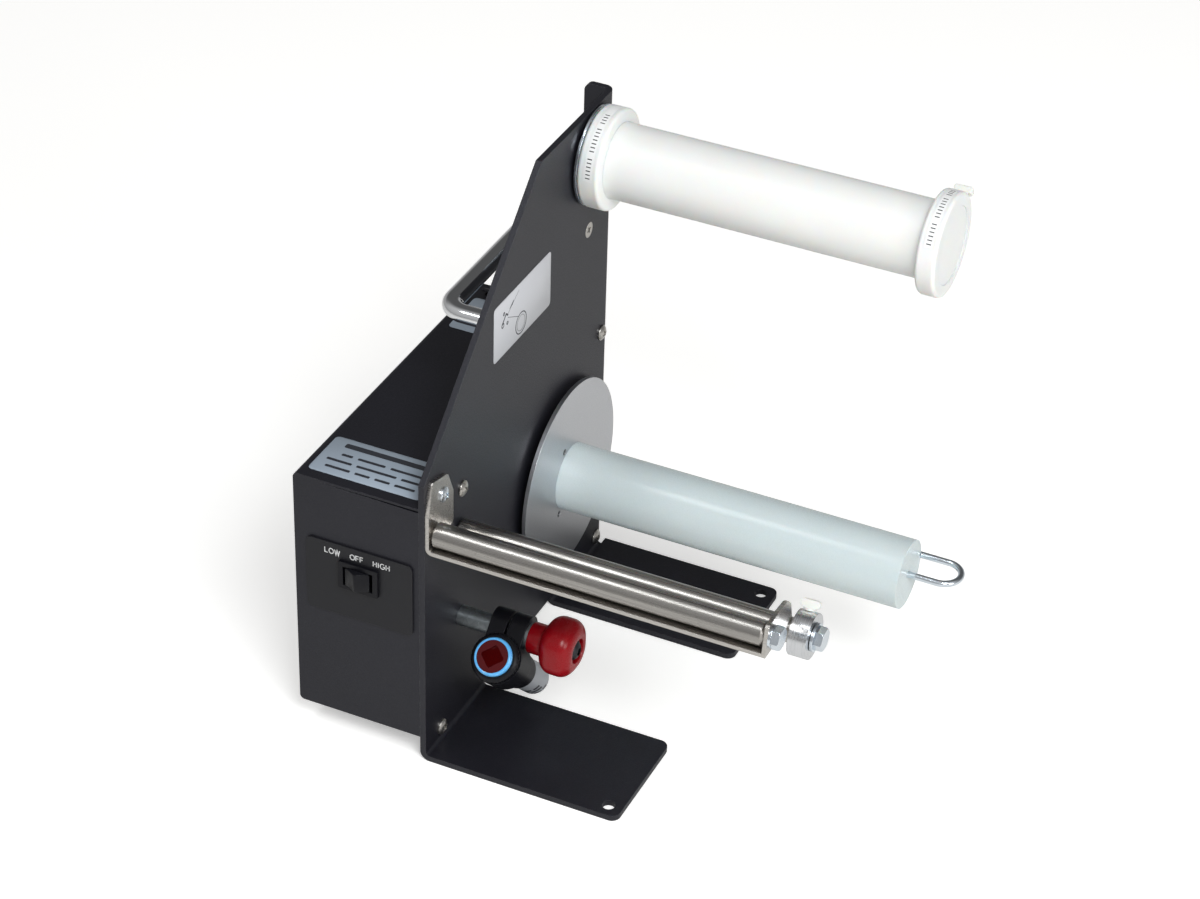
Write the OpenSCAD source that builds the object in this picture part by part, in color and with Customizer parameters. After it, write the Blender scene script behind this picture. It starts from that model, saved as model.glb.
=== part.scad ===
// Bench-top automatic label dispenser.
// A bent steel side plate stands on two feet. It carries a closed drive housing on
// its left, and on its right a supply spool, a powered take-up core, a strip bar
// with two guide rods, and a label sensor on a tilting clamp.
// Millimetres, +Z up, front towards -Y. The origin lies on the underside of the
// feet, midway between the two bench bolt holes. Places are given from the side
// plate: x out from its face, y back from its front edge, z up from the bench.

/* [Side plate] */
// Sheet thickness of the side plate
plate_t = 3; // [2:0.5:4]
// Depth of the side plate, front to back
plate_d = 198.4; // [190:0.2:230]
// Height of the side plate
plate_h = 270; // [262:1:320]
// Height at which the front edge starts to lean back
nose_h = 160.3; // [150:0.1:185]
// How far back the leaning edge reaches at the top
nose_run = 117.5; // [90:0.5:130]
// Inside radius of the plate's bends
bend_r = 2; // [1:0.5:3]
// Width of the stiffening flange behind the plate
flange_w = 15.2; // [12:0.2:24]
// Rounding of the stiffening flange's free corner
flange_corner_r = 4; // [1:0.5:6]

/* [Feet] */
// Length of the feet, out from the plate's face
foot_w = 100.8; // [95:0.2:130]
// Depth of the front foot
front_foot_d = 61.5; // [55:0.5:61.5]
// Depth of the back foot
back_foot_d = 61.1; // [50:0.5:70]
// Corner rounding of the feet
foot_corner_r = 4.5; // [2:0.5:8]
// Diameter of the bench bolt holes
bolt_hole_d = 6.4; // [5:0.1:8]
// Distance of the bolt holes from the end of the feet
bolt_side = 7.3; // [6:0.1:15]
// Distance of the bolt holes from the front and back edges
bolt_edge = 7; // [6:0.5:15]

/* [Drive housing] */
// Width of the housing
housing_w = 65.5; // [62:0.5:90]
// Distance of the housing's back wall from the plate's back edge
housing_back = 11.6; // [10.6:0.2:14]
// Height of the housing's top above the bench
housing_top = 147.2; // [144:0.2:156]
// Height of the housing's floor above the bench
housing_floor = 13.4; // [12:0.2:20]
// Sheet thickness of the housing
housing_t = 1.2; // [0.8:0.1:2]
// Bend rounding of the housing's left edges
housing_r = 2.5; // [1.5:0.5:5]
// Depth of the air louvre in the housing's top
louvre_d = 7; // [5:0.5:10]
// Length of the air louvre
louvre_w = 48; // [30:1:52]
// Height of the air louvre above the housing's top
louvre_h = 3.4; // [1.5:0.1:4]
// Diameter of the rubber feet under the housing
rubber_d = 16; // [12:0.5:20]

/* [Plate screws] */
// Thread diameter of the plate screws
screw_d = 4; // [3:0.5:5]
// Head diameter of the plate screws
screw_head_d = 8; // [7:0.1:9]
// Head height of the plate screws
screw_head_h = 2.6; // [2:0.1:3]

/* [Carry handle] */
// Distance of the handle's back leg from the plate's back edge
handle_back = 26.4; // [24:0.2:40]
// Height of the handle above the bench
handle_z = 204.4; // [195:0.2:215]
// Place of the handle's front leg, back from the plate's front edge
handle_y = 77; // [70:1:85]
// Reach of the handle's grip from the plate's back face to its centre line
handle_reach = 26; // [24:0.5:40]
// Width of the oval handle bar
handle_bar_w = 10; // [9:0.5:12]
// Thickness of the oval handle bar
handle_bar_t = 8; // [6.5:0.5:8.5]
// Bend radius of the handle's centre line
handle_bend_r = 10; // [8:0.5:16]

/* [Switch] */
// Width of the switch panel
panel_w = 56; // [48:1:58]
// Height of the switch panel
panel_h = 40.5; // [34:0.5:50]
// Thickness of the switch panel
panel_t = 1; // [0.5:0.1:1.5]
// Corner rounding of the switch panel
panel_r = 3; // [1:0.5:6]
// Height of the switch panel's centre above the bench
panel_z = 93.7; // [80:0.1:105]
// Width of the rocker switch's bezel
bezel_w = 21; // [20:0.5:24]
// Height of the rocker switch's bezel
bezel_h = 15.4; // [15:0.1:18]
// Thickness of the rocker switch's bezel
bezel_t = 1.6; // [1:0.1:2.5]
// Height of the rocker switch's centre above the bench
rocker_z = 98.2; // [94:0.1:100]

/* [Supply spool] */
// Distance of the supply axle from the plate's back edge
supply_back = 23.7; // [22:0.1:34]
// Distance of the supply axle below the plate's top edge
supply_top = 24.7; // [20:0.1:35]
// Diameter of the supply axle
supply_axle_d = 12; // [8:0.5:16]
// Length of the supply tube
supply_tube_l = 179; // [150:1:220]
// Diameter of the supply tube
supply_tube_d = 37.7; // [34:0.1:40]
// Diameter of the two spool flanges
spool_flange_d = 50.4; // [48:0.2:60]
// Thickness of the inner spool flange
inner_flange_t = 10.8; // [8:0.1:14]
// Thickness of the outer spool flange
outer_flange_t = 9.7; // [8:0.1:14]

/* [Take-up] */
// Distance of the take-up axis from the plate's back edge
takeup_back = 52.7; // [52:0.1:58]
// Height of the take-up axis above the bench
takeup_z = 77.3; // [74:0.1:82]
// Diameter of the take-up disc
disc_d = 101.2; // [90:0.2:104]
// Thickness of the take-up disc
disc_t = 2.1; // [1.5:0.1:3]
// Diameter of the take-up core
core_d = 34.6; // [32:0.2:36]
// Length of the take-up core
core_l = 179.9; // [150:0.1:220]
// Diameter of the drive shaft
shaft_d = 10; // [8:0.5:12]
// Circle on which the disc screws lie
disc_screw_pcd = 40; // [38:0.5:42]
// Wire diameter of the liner clip
clip_wire_d = 3.3; // [2.5:0.1:3.5]
// How far the drive shaft reaches into the take-up core
shaft_front = 32; // [25:1:45]
// How far the liner clip's straight legs stand out of the core
clip_stand = 14.5; // [8:0.5:20]

/* [Strip bar] */
// Length of the strip bar bracket between the outer faces of its ears
strip_l = 169.2; // [150:0.2:200]
// Sheet thickness of the strip bar bracket
strip_t = 2; // [1.5:0.5:2.5]
// Height of the underside of the bracket's web above the bench
strip_z = 122.6; // [118:0.1:124]
// Depth of the bracket's web
strip_d = 22; // [20:0.5:22.5]
// Diameter of the two guide rods
rod_d = 12; // [11:0.5:12]
// Place of the front rod, back from the plate's front edge
front_rod_y = 6.8; // [6.6:0.1:8]
// Height of the front rod above the bench
front_rod_z = 130.9; // [130.7:0.1:132]
// Place of the rear rod, back from the plate's front edge
rear_rod_y = 35; // [35:0.1:38]
// Height of the rear rod above the bench
rear_rod_z = 114.3; // [110:0.1:114.8]
// Diameter of the guide collar
collar_d = 22; // [20:0.5:26]
// Thickness of the guide collar
collar_t = 9; // [8:0.5:14]
// Gap between the bracket and the guide collar
collar_gap = 0.9; // [0.5:0.1:8]

/* [Label sensor] */
// Place of the sensor post, back from the plate's front edge
post_y = 37; // [35:0.1:39]
// Height of the sensor post above the bench
post_z = 62.5; // [61:0.1:66]
// Diameter of the sensor post
post_d = 10; // [9:0.5:10]
// Distance of the sensor's axis from the plate's face
sensor_x = 27; // [26:0.5:36]
// Tilt of the sensor from upright
sensor_tilt = 45; // [40:1:50]
// Distance from the post's axis to the sensor's axis
sensor_drop = 15.3; // [14.5:0.1:17]
// Diameter of the threaded sensor barrel
barrel_d = 18; // [16:0.5:18]
// Diameter of the sensor's smooth tail
tail_d = 15.8; // [12:0.1:16]
// Length of the sensor, lens to tail
sensor_l = 66; // [60:1:76]
// Diameter of the clamping knob's head
knob_d = 28.8; // [26:0.2:30]
// Length of the clamping knob's head
knob_head_l = 16.5; // [14:0.5:20]
// Diameter of the clamping knob's neck
knob_neck_d = 15.4; // [13:0.2:16]
// Number of finger scallops around the clamping knob
knob_lobes = 4; // [3:1:7]

/* [Fits] */
// Radial clearance of a shaft or screw in its hole
fit = 0.05; // [0.02:0.01:0.1]
// Gap left between pieces that move past each other
gap = 0.3; // [0.3:0.05:0.5]

/* [Hidden] */
$fn = 64;

eps = 0.01;                                   // overshoot of cuts
bolt_line_x = foot_w - bolt_side;             // bench bolt holes, out from the plate's face
bend_out = bend_r + plate_t;                  // outer radius of the plate's bends
back_foot_y = plate_d - back_foot_d;
supply_y = plate_d - supply_back;             // places back from the plate's front edge
supply_z = plate_h - supply_top;
takeup_y = plate_d - takeup_back;
handle_pitch = plate_d - handle_back - handle_y;
housing_d = plate_d - housing_back;
housing_x = -plate_t - housing_w;             // left face of the housing
housing_h = housing_top - housing_floor;
louvre_y = housing_d - 10.2;                  // front lip of the air louvre
louvre_x = housing_x + 8.5;
louvre_t = 1;
seam_w = 1.1;

tab_t = 1.2;                                  // housing tabs, against the plate's back face
tab_half = 7;
tab_screw_back = housing_d + 2.4;
tab_screw_low = housing_floor - 4;
tab_screws = [
    [37.7, housing_top - 10.8], [tab_screw_back, housing_top - 11.5],
    [16, tab_screw_low], [tab_screw_back, tab_screw_low]
];

rubber_y = [42, housing_d - 26];
rubber_x = housing_x + 12;
rubber_screw_d = 4;

panel_x = -plate_t - housing_w / 2 + 1.8;     // middle of the switch panel
rocker_depth = 5;                             // pivot line behind the bezel's face
switch_cut_w = bezel_w - 2.4;
switch_cut_h = bezel_h - 2.4;
switch_body_d = 18;
rocker_w = switch_cut_w - 3.6;
rocker_h = switch_cut_h - 3;
rocker_pin_d = 2;
rocker_ridge = 3.4;                           // middle ridge above the rocker's ends
rocker_hollow_r = 13;                         // hollow of the rocker's two faces
lug_l = 6;                                    // solder lugs behind the switch
lug_h = 4.8;

gearbox_w = 26;                               // along X
gearbox_d = 56;                               // along Y
gearbox_h = 52;                               // along Z
gearbox_screw_pitch = 38;
gearbox_screw_d = 4;
gearbox_front_y = takeup_y - gearbox_d / 2;
motor_d = 34;
motor_l = 68;
motor_x = -plate_t - gearbox_w / 2 - 6;
motor_neck_l = 6;                             // flange between gearbox and motor
motor_cap_l = 8;                              // smaller cap at the motor's far end
motor_lug_l = 4;
bearing_d = shaft_d + 8;
bearing_flange_d = shaft_d + 14;
bearing_flange_t = 0.8;
shaft_back = 18;                              // drive shaft inside the gearbox

board_t = 1.6;
board_y = 18;
board_w = 70;
board_z = 32;
board_h = 84;
board_gap = 6;                                // spacer length off the housing's left wall
board_hole_inset = 5;
board_screw_d = 3;
spacer_d = 6;
board_relay = [9, 20, 14];
board_plug = [7, 14, 12];
board_x = housing_x + housing_t + board_gap;

jack_d = 11;
jack_x = housing_x + 14;
jack_z = housing_floor + 20;
jack_l = 12;
jack_bore_d = 6.3;
jack_pin_d = 2.1;

hub_d = 48;
hub_x = bearing_flange_t + gap;
disc_x = 3.3;
core_x = disc_x + disc_t;
disc_screw_angle = 111.5;
disc_screw_d = 2.5;
clip_r = 8.9;                                 // half the distance between the clip's legs
groove_w = clip_wire_d + 0.3;                 // bore and groove that the clip's legs slide in
clip_leg_l = core_l - shaft_front - 8;        // legs inside the core

axle_thread_d = 10;
axle_collar_d = 20;
axle_collar_t = 1.4;
washer_t = 1.2;
supply_x = axle_collar_t + washer_t + gap;    // inner end of the supply tube
axle_l = 150;
axle_nut_af = 17;
axle_nut_h = 8;
axle_washer_t = 1.6;
outer_flange_x = supply_x + supply_tube_l - outer_flange_t + 0.4;
flange_rim_r = 1.6;
thumb_d = 5;
thumb_neck_h = 0.6;
thumb_wing_w = 9.4;
thumb_wing_h = 4.4;
thumb_wing_t = 3.2;
thumb_wing_low = 0.9;                         // underside of the wing above its neck
thumb_wing_round = 1.5;
thumb_tip = 0.1;                              // end of a thumb screw off the bar it clamps
flange_thumb_stem = (spool_flange_d - supply_tube_d) / 2 - fit - thumb_tip;
thumb_angle_outer = 34;
thumb_angle_inner = -40;

ear_screw_y = 15.2;
ear_screw_z = strip_z + 25.2;
strip_bend = 1.5;                             // inside radius of the bracket's bend
strip_y = 0.5;
strip_back = strip_y + strip_d;               // back edge of the bracket's web
// Outlines of the two ears, back from the plate's front edge and up from the web's underside
left_ear_top = [[strip_y, 21], [4, 36.8], [5.4, 37.6], [18.6, 34.4], [20.2, 33], [25.2, 21.4], [25.2, 5.2]];
right_ear_top = [
    [0.6, 1], [3, 14.9], [4.1, 15.8], [14.1, 16.6], [23.9, 15.6],
    [26.3, 14.4], [29.2, 11.2], [31.1, 3.6], [31.6, 0]
];
rod_screw_d = 6;
rod_tap_l = 12;                               // depth of the tapped holes in rods and post
rod_grip_l = 7;
rod_chamfer = strip_bend;                     // clears the inside of the bracket's bend
rod_washer_d = 10.8;
rear_washer_d = rod_d + 1.6;                  // keeps the guide collar on the rear rod
rod_washer_t = 1.4;
rod_head_d = 10.4;
hex_af = 10;
hex_h = 3.8;
collar_x = strip_l + collar_gap;
rear_rod_l = collar_x + collar_t + gap;
collar_thumb_d = thumb_d - 1;
collar_thumb_stem = (collar_d - rod_d) / 2 - fit - thumb_tip;
collar_screw_angle = 60;

clamp_half = 9.2;                             // half width of the clamp along the post
clamp_ear = 2.2;                              // rounding of the clamp's ears, past the post's axis
clamp_slit = 1.4;
ring_wall = 3.4;
ring_l = 15;
lens_up = 14.2;                               // lens face above the post's level, along the sensor
nut_d = 24;
nut_l = 4;
nut_chamfer = 1.2;
blue_d = 18.8;
blue_l = 2.5;
lens_d = 15.8;
lens_sink = 0.3;
lens_window = 8;
barrel_l = 37.4;
tail_chamfer = 1.5;
knob_screw_d = 6;
knob_washer_t = 1.6;
post_l = sensor_x - clamp_slit / 2 - 0.6;
post_tap_l = 9;
knob_x = sensor_x + clamp_half + knob_washer_t;
knob_neck_l = 7.5;
knob_l = knob_neck_l + knob_head_l;
knob_round = 6.5;                             // rounding of the knob's head
knob_seat = 2.4;                              // sunk seat of the knob's screw
knob_scallop_r = 9;
knob_scallop_depth = 1.6;
knob_screw_head_d = 10.5;
knob_screw_head_h = 3.4;
knob_screw_l = knob_l - knob_seat + knob_x - post_l + 7;

// Sets a piece at a place given from the side plate.
module place(x, y, z) translate([x - bolt_line_x, y - plate_d / 2, z]) children();

// Turns an upright piece, or a profile drawn in Y and Z, to run along +X.
module along_x() rotate([90, 0, 90]) children();

// Extrudes a profile drawn in X and Z from y = 0 backwards.
module slab_y(depth) translate([0, depth, 0]) rotate([90, 0, 0]) linear_extrude(depth) children();

// Rectangle from the origin with all four corners rounded.
module rounded(w, h, r) {
    translate([r, 0]) square([w - 2 * r, h]);
    translate([0, r]) square([w, h - 2 * r]);
    for (x = [r, w - r], y = [r, h - r]) translate([x, y]) circle(r);
}

module rod_x(d, l) along_x() cylinder(d = d, h = l);

// Round bar along X with chamfered ends.
module guide_rod(d, l, c) {
    translate([c, 0, 0]) rod_x(d, l - 2 * c);
    along_x() cylinder(d1 = d - 2 * c, d2 = d, h = c);
    translate([l - c, 0, 0]) along_x() cylinder(d1 = d, d2 = d - 2 * c, h = c);
}

module hole_x(d, l) translate([-eps, 0, 0]) rod_x(d, l + 2 * eps);

module ring_x(d, bore, l) along_x() linear_extrude(l) difference() {
    circle(d = d);
    circle(d = bore);
}

// Domed cap of diameter d and height h on a straight rim, along +Z.
module dome(d, h, rim) {
    s = h - rim;
    r = (d * d / 4 + s * s) / (2 * s);
    intersection() {
        cylinder(d = d, h = h);
        translate([0, 0, h - r]) sphere(r, $fn = 96);
    }
}

// Cross recess for a head of diameter d.
module cross_recess(d, depth) {
    w = d * 0.11;
    l = d * 0.48;
    translate([-l / 2, -w / 2, -depth]) cube([l, w, depth + 1]);
    translate([-w / 2, -l / 2, -depth]) cube([w, l, depth + 1]);
}

// Pan head screw along X: head from x = 0 outwards, shank behind it.
module pan_screw(d, head_d, head_h, l) along_x() {
    difference() {
        dome(head_d, head_h, head_h * 0.35);
        translate([0, 0, head_h]) rotate(25) cross_recess(head_d, head_h * 0.4);
    }
    translate([0, 0, -l]) cylinder(d = d, h = l + eps);
}

// Countersunk screw along X: flat head flush with x = 0, shank behind it.
module flush_screw(d, head_d, l) along_x() difference() {
    union() {
        translate([0, 0, -(head_d - d) / 2]) cylinder(d1 = d, d2 = head_d, h = (head_d - d) / 2);
        translate([0, 0, -l]) cylinder(d = d, h = l);
    }
    rotate(20) cross_recess(head_d, head_d * 0.14);
}

// Seat for a countersunk screw, with its through hole.
module flush_seat(d, head_d, l) along_x() {
    cone = (head_d - d) / 2;
    translate([0, 0, -cone - fit]) cylinder(d1 = d, d2 = head_d + 2 * fit, h = cone + 2 * fit);
    translate([0, 0, -l - eps]) cylinder(d = d + 2 * fit, h = l + 2 * eps);
}

// Hexagon head bolt along X: head from x = 0 outwards, shank behind it.
module hex_bolt(d, af, head_h, l) along_x() {
    intersection() {
        cylinder(d = af / cos(30), h = head_h, $fn = 6);
        cylinder(d1 = af * 1.75, d2 = af * 1.02, h = head_h * 1.06);
    }
    translate([0, 0, -l]) cylinder(d = d, h = l + eps);
}

// Nylon thumb screw of diameter d along +Z: stem from z = -stem to 0, neck and wing above.
module thumb_screw(d, stem) {
    wing_r = thumb_wing_w / 2;
    translate([0, 0, -stem]) cylinder(d = d, h = stem + eps);
    cylinder(d = d + 1.4, h = thumb_neck_h + 0.4);
    translate([0, thumb_wing_t / 2, thumb_neck_h]) rotate([90, 0, 0]) linear_extrude(thumb_wing_t) {
        translate([-wing_r * 0.6, 0]) square([wing_r * 1.2, thumb_wing_h / 2]);
        translate([-wing_r, thumb_wing_low])
            rounded(thumb_wing_w, thumb_wing_h - thumb_wing_low, thumb_wing_round);
    }
}

// The side plate: upright sheet, rear stiffening flange and two bent feet.
module plate_outline() polygon([
    [0, bend_out], [0, nose_h], [nose_run, plate_h],
    [plate_d - bend_out, plate_h], [plate_d - bend_out, bend_out]
]);

// Quarter bend from the upright into a foot, depth d along +Y.
module foot_bend(d) translate([bend_r, 0, bend_out]) rotate([-90, 0, 0]) rotate([0, 0, 90])
    rotate_extrude(angle = 90) translate([bend_r, 0]) square([plate_t, d]);

// Flat foot with its two free corners rounded.
module foot(d) linear_extrude(plate_t) {
    end_w = 2 * foot_corner_r + 1;
    translate([bend_r, 0]) square([foot_w - bend_r - foot_corner_r, d]);
    translate([foot_w - end_w, 0]) rounded(end_w, d, foot_corner_r);
}

module plate_flange() {
    translate([-bend_out, plate_d - bend_out, bend_out]) rotate_extrude(angle = 90)
        translate([bend_r, 0]) square([plate_t, plate_h - bend_out]);
    translate([-flange_w, plate_d - plate_t, bend_out]) slab_y(plate_t) union() {
        square([flange_w - bend_out, plate_h - bend_out - flange_corner_r]);
        translate([flange_corner_r, 0]) square([flange_w - bend_out - flange_corner_r, plate_h - bend_out]);
        translate([flange_corner_r, plate_h - bend_out - flange_corner_r]) circle(flange_corner_r);
    }
}

module plate_hole(y, z, d) translate([-plate_t, y, z]) hole_x(d, plate_t);

module side_plate() color([0.13, 0.13, 0.14]) place(0, 0, 0) difference() {
    union() {
        translate([-plate_t, 0, 0]) along_x() linear_extrude(plate_t) plate_outline();
        foot_bend(front_foot_d);
        foot(front_foot_d);
        translate([0, back_foot_y, 0]) {
            foot_bend(back_foot_d - bend_out);
            foot(back_foot_d);
        }
        plate_flange();
    }
    for (p = tab_screws) plate_hole(p[0], p[1], screw_d + 2 * fit);
    for (y = [handle_y, handle_y + handle_pitch])
        translate([0, y, handle_z]) flush_seat(screw_d, screw_head_d, plate_t);
    for (y = [-1, 1], z = [-1, 1])
        translate([0, takeup_y + y * gearbox_screw_pitch / 2, takeup_z + z * gearbox_screw_pitch / 2])
            flush_seat(gearbox_screw_d, screw_head_d, plate_t);
    plate_hole(takeup_y, takeup_z, bearing_d + 2 * fit);
    plate_hole(supply_y, supply_z, axle_thread_d + 2 * fit);
    plate_hole(ear_screw_y, ear_screw_z, screw_d + 2 * fit);
    plate_hole(front_rod_y, front_rod_z, rod_screw_d + 2 * fit);
    plate_hole(rear_rod_y, rear_rod_z, rod_screw_d + 2 * fit);
    plate_hole(post_y, post_z, rod_screw_d + 2 * fit);
    for (y = [bolt_edge, plate_d - bolt_edge])
        translate([bolt_line_x, y, -eps]) cylinder(d = bolt_hole_d, h = plate_t + 2 * eps);
}

module plate_screws() color([0.75, 0.72, 0.68]) for (p = tab_screws)
    place(0, p[0], p[1]) pan_screw(screw_d, screw_head_d, screw_head_h, plate_t + tab_t + 1.5);

// The drive housing: one bent cover, open towards the side plate.
module housing_outline(inset) {
    r = max(housing_r - inset, 0.5);
    w = housing_w - inset;
    h = housing_h - 2 * inset;
    translate([inset, inset]) {
        translate([r, 0]) square([w - r, h]);
        translate([0, r]) square([w, h - 2 * r]);
        for (z = [r, h - r]) translate([r, z]) circle(r);
    }
}

// One tab of the housing between two corners, given back and up.
module tab(y0, z0, y1, z1) translate([-plate_t - tab_t, y0, z0]) cube([tab_t, y1 - y0, z1 - z0]);

// Tabs under the plate screws: one above, one below, two behind the back wall.
module housing_tabs() {
    front = tab_screws[0];
    low = tab_screws[2];
    back_end = tab_screw_back + 3.8;
    floor_z = housing_floor + housing_t / 2;
    tab(front[0] - tab_half, front[1] - tab_half, front[0] + tab_half, housing_top - housing_t / 2);
    tab(low[0] - tab_half, tab_screw_low - 5, low[0] + tab_half, floor_z);
    tab(housing_d - housing_t, tab_screws[1][1] - tab_half, back_end, tab_screws[1][1] + tab_half);
    tab(housing_d - housing_t, tab_screw_low - 5, back_end, housing_floor + 12);
}

module housing_cover() color([0.10, 0.10, 0.11]) place(0, 0, 0) difference() {
    union() {
        difference() {
            translate([housing_x, 0, housing_floor]) slab_y(housing_d) housing_outline(0);
            translate([housing_x, housing_t, housing_floor]) slab_y(housing_d - 2 * housing_t)
                union() {
                    housing_outline(housing_t);
                    translate([housing_w / 2, housing_t]) square([housing_w, housing_h - 2 * housing_t]);
                }
        }
        housing_tabs();
        translate([louvre_x, louvre_y, housing_top]) louvre_hood();
    }
    for (p = tab_screws) translate([-plate_t - tab_t, p[0], p[1]]) hole_x(screw_d + 2 * fit, tab_t);
    translate([panel_x - switch_cut_w / 2, -1, rocker_z - switch_cut_h / 2])
        cube([switch_cut_w, housing_t + 2, switch_cut_h]);
    for (y = rubber_y) translate([rubber_x, y, housing_floor - 1])
        cylinder(d = rubber_screw_d + 2 * fit, h = housing_t + 2);
    translate([jack_x, housing_d - housing_t - 1, jack_z]) rotate([-90, 0, 0])
        cylinder(d = jack_d + 2 * fit, h = housing_t + 2);
    translate([louvre_x + louvre_t, louvre_y + 1, housing_top - housing_t - 1])
        cube([louvre_w - 2 * louvre_t, 2.6, housing_t + 1.2]);
    housing_seam();
}

// Open seam between the top sheet and the front sheet, wider towards the plate.
module housing_seam() translate([0, -1, housing_top - housing_t]) slab_y(1 + housing_t + eps)
    polygon([[housing_x + 12, 0], [-plate_t + 1, 0], [-plate_t + 1, -seam_w]]);

// Hood of the louvre: a sloping sheet that lifts at its front lip.
module louvre_hood() along_x() linear_extrude(louvre_w) polygon([
    [0, louvre_h - louvre_t], [0, louvre_h], [1.6, louvre_h], [louvre_d, 0],
    [louvre_d - 2 * louvre_t, 0], [1.2, louvre_h - louvre_t]
]);

module housing_feet() color([0.08, 0.08, 0.08]) for (y = rubber_y) place(rubber_x, y, 0) {
    cylinder(d1 = rubber_d - 2, d2 = rubber_d, h = housing_floor);
    translate([0, 0, housing_floor - eps]) cylinder(d = rubber_screw_d, h = housing_t + 3);
}

// The carry handle: an oval bar bent into a bow, legs tapped at their ends.
module handle_section() {
    flat = handle_bar_w - handle_bar_t;
    square([flat, handle_bar_t], center = true);
    for (s = [-1, 1]) translate([s * flat / 2, 0]) circle(d = handle_bar_t);
}

module carry_handle() color([0.80, 0.80, 0.82]) {
    leg = handle_reach - handle_bend_r;
    grip = handle_pitch - 2 * handle_bend_r;
    place(-plate_t, handle_y, handle_z) difference() {
        union() {
            translate([-leg, 0, 0]) along_x() linear_extrude(leg) handle_section();
            translate([-leg, handle_pitch, 0]) along_x() linear_extrude(leg) handle_section();
            translate([-handle_reach, handle_bend_r, 0]) slab_y(grip) handle_section();
            translate([-leg, handle_bend_r, 0]) rotate([0, 0, 180]) rotate_extrude(angle = 90)
                translate([handle_bend_r, 0]) handle_section();
            translate([-leg, handle_pitch - handle_bend_r, 0]) rotate([0, 0, 90]) rotate_extrude(angle = 90)
                translate([handle_bend_r, 0]) handle_section();
        }
        for (y = [0, handle_pitch]) translate([-10, y, 0]) hole_x(screw_d + 2 * fit, 10);
    }
}

module handle_screws() color([0.16, 0.16, 0.17]) for (y = [handle_y, handle_y + handle_pitch])
    place(0, y, handle_z) flush_screw(screw_d, screw_head_d, plate_t + 8);

// The switch: a thin panel on the housing's front, and a three-position rocker.
module switch_panel() color([0.12, 0.12, 0.13]) place(panel_x, -panel_t, 0) slab_y(panel_t) difference() {
    translate([-panel_w / 2, panel_z - panel_h / 2]) rounded(panel_w, panel_h, panel_r);
    translate([-switch_cut_w / 2, rocker_z - switch_cut_h / 2]) square([switch_cut_w, switch_cut_h]);
}

module switch_body() color([0.07, 0.07, 0.08]) place(panel_x, 0, rocker_z) difference() {
    union() {
        translate([0, -panel_t - bezel_t, 0]) slab_y(bezel_t)
            translate([-bezel_w / 2, -bezel_h / 2]) rounded(bezel_w, bezel_h, 0.8);
        translate([-switch_cut_w / 2 + fit, -panel_t - eps, -switch_cut_h / 2 + fit])
            cube([switch_cut_w - 2 * fit, switch_body_d, switch_cut_h - 2 * fit]);
        for (x = [-5, 0, 5]) translate([x, switch_body_d - panel_t - 1 + lug_l / 2 + 0.5, 0])
            cube([0.8, lug_l + 1, lug_h], center = true);
    }
    translate([-rocker_w / 2 - gap, -panel_t - bezel_t - 1, -rocker_h / 2 - gap])
        cube([rocker_w + 2 * gap, bezel_t + 11, rocker_h + 2 * gap]);
    translate([0, rocker_depth - panel_t - bezel_t, 0])
        cylinder(d = rocker_pin_d + 2 * fit, h = switch_cut_h - 1.2, center = true);
}

// Rocker with a middle ridge, on pins along Z; at rest in its middle position.
module switch_rocker() color([0.09, 0.09, 0.10]) place(panel_x, rocker_depth - panel_t - bezel_t, rocker_z) {
    end_x = rocker_w / 2 - 1.1;
    end_y = -rocker_depth - 0.4;
    heel = [3.4, 2.6];
    translate([0, 0, -rocker_h / 2]) linear_extrude(rocker_h) difference() {
        intersection() {
            polygon([
                [-end_x, end_y], [0, -rocker_depth - rocker_ridge], [end_x, end_y],
                heel, [-heel[0], heel[1]]
            ]);
            circle(rocker_w / 2 + 1.2);
        }
        for (s = [-1, 1]) translate([s * 8.6, end_y - rocker_hollow_r]) circle(rocker_hollow_r);
    }
    cylinder(d = rocker_pin_d, h = switch_cut_h - 1.6, center = true);
}

// The drive inside the housing: a right-angle gear motor on the plate's back face.
module drive_gearbox() color([0.62, 0.63, 0.65]) place(-plate_t, takeup_y, takeup_z) difference() {
    union() {
        translate([-gearbox_w, -gearbox_d / 2, 0]) slab_y(gearbox_d)
            translate([0, -gearbox_h / 2]) rounded(gearbox_w, gearbox_h, 3);
        translate([-gearbox_w - 4, 0, 0]) rod_x(30, 4 + eps);
        translate([motor_x + plate_t, -gearbox_d / 2 - motor_neck_l, 0]) rotate([-90, 0, 0])
            cylinder(d = motor_d - 6, h = motor_neck_l + eps);
    }
    translate([-shaft_back - gap, 0, 0]) hole_x(shaft_d + 2 * fit, shaft_back + gap);
    for (y = [-1, 1], z = [-1, 1]) translate([-12, y * gearbox_screw_pitch / 2, z * gearbox_screw_pitch / 2])
        hole_x(gearbox_screw_d + 2 * fit, 12);
}

module drive_motor() color([0.45, 0.46, 0.48]) place(motor_x, gearbox_front_y - motor_neck_l, takeup_z)
    rotate([90, 0, 0]) {
        cylinder(d = motor_d, h = motor_l - motor_cap_l);
        translate([0, 0, motor_l - motor_cap_l]) cylinder(d = motor_d - 2, h = motor_cap_l - 2);
        translate([0, 0, motor_l - 2]) cylinder(d = 10, h = 2);
        for (s = [-1, 1]) translate([s * 9 - 1.5, -0.4, motor_l - 3]) cube([3, 0.8, motor_lug_l + 3]);
    }

// Countersunk screws that hold the gearbox, under the take-up disc.
module gearbox_screws() color([0.70, 0.70, 0.70]) for (y = [-1, 1], z = [-1, 1])
    place(0, takeup_y + y * gearbox_screw_pitch / 2, takeup_z + z * gearbox_screw_pitch / 2)
        flush_screw(gearbox_screw_d, screw_head_d, plate_t + 10);

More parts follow.
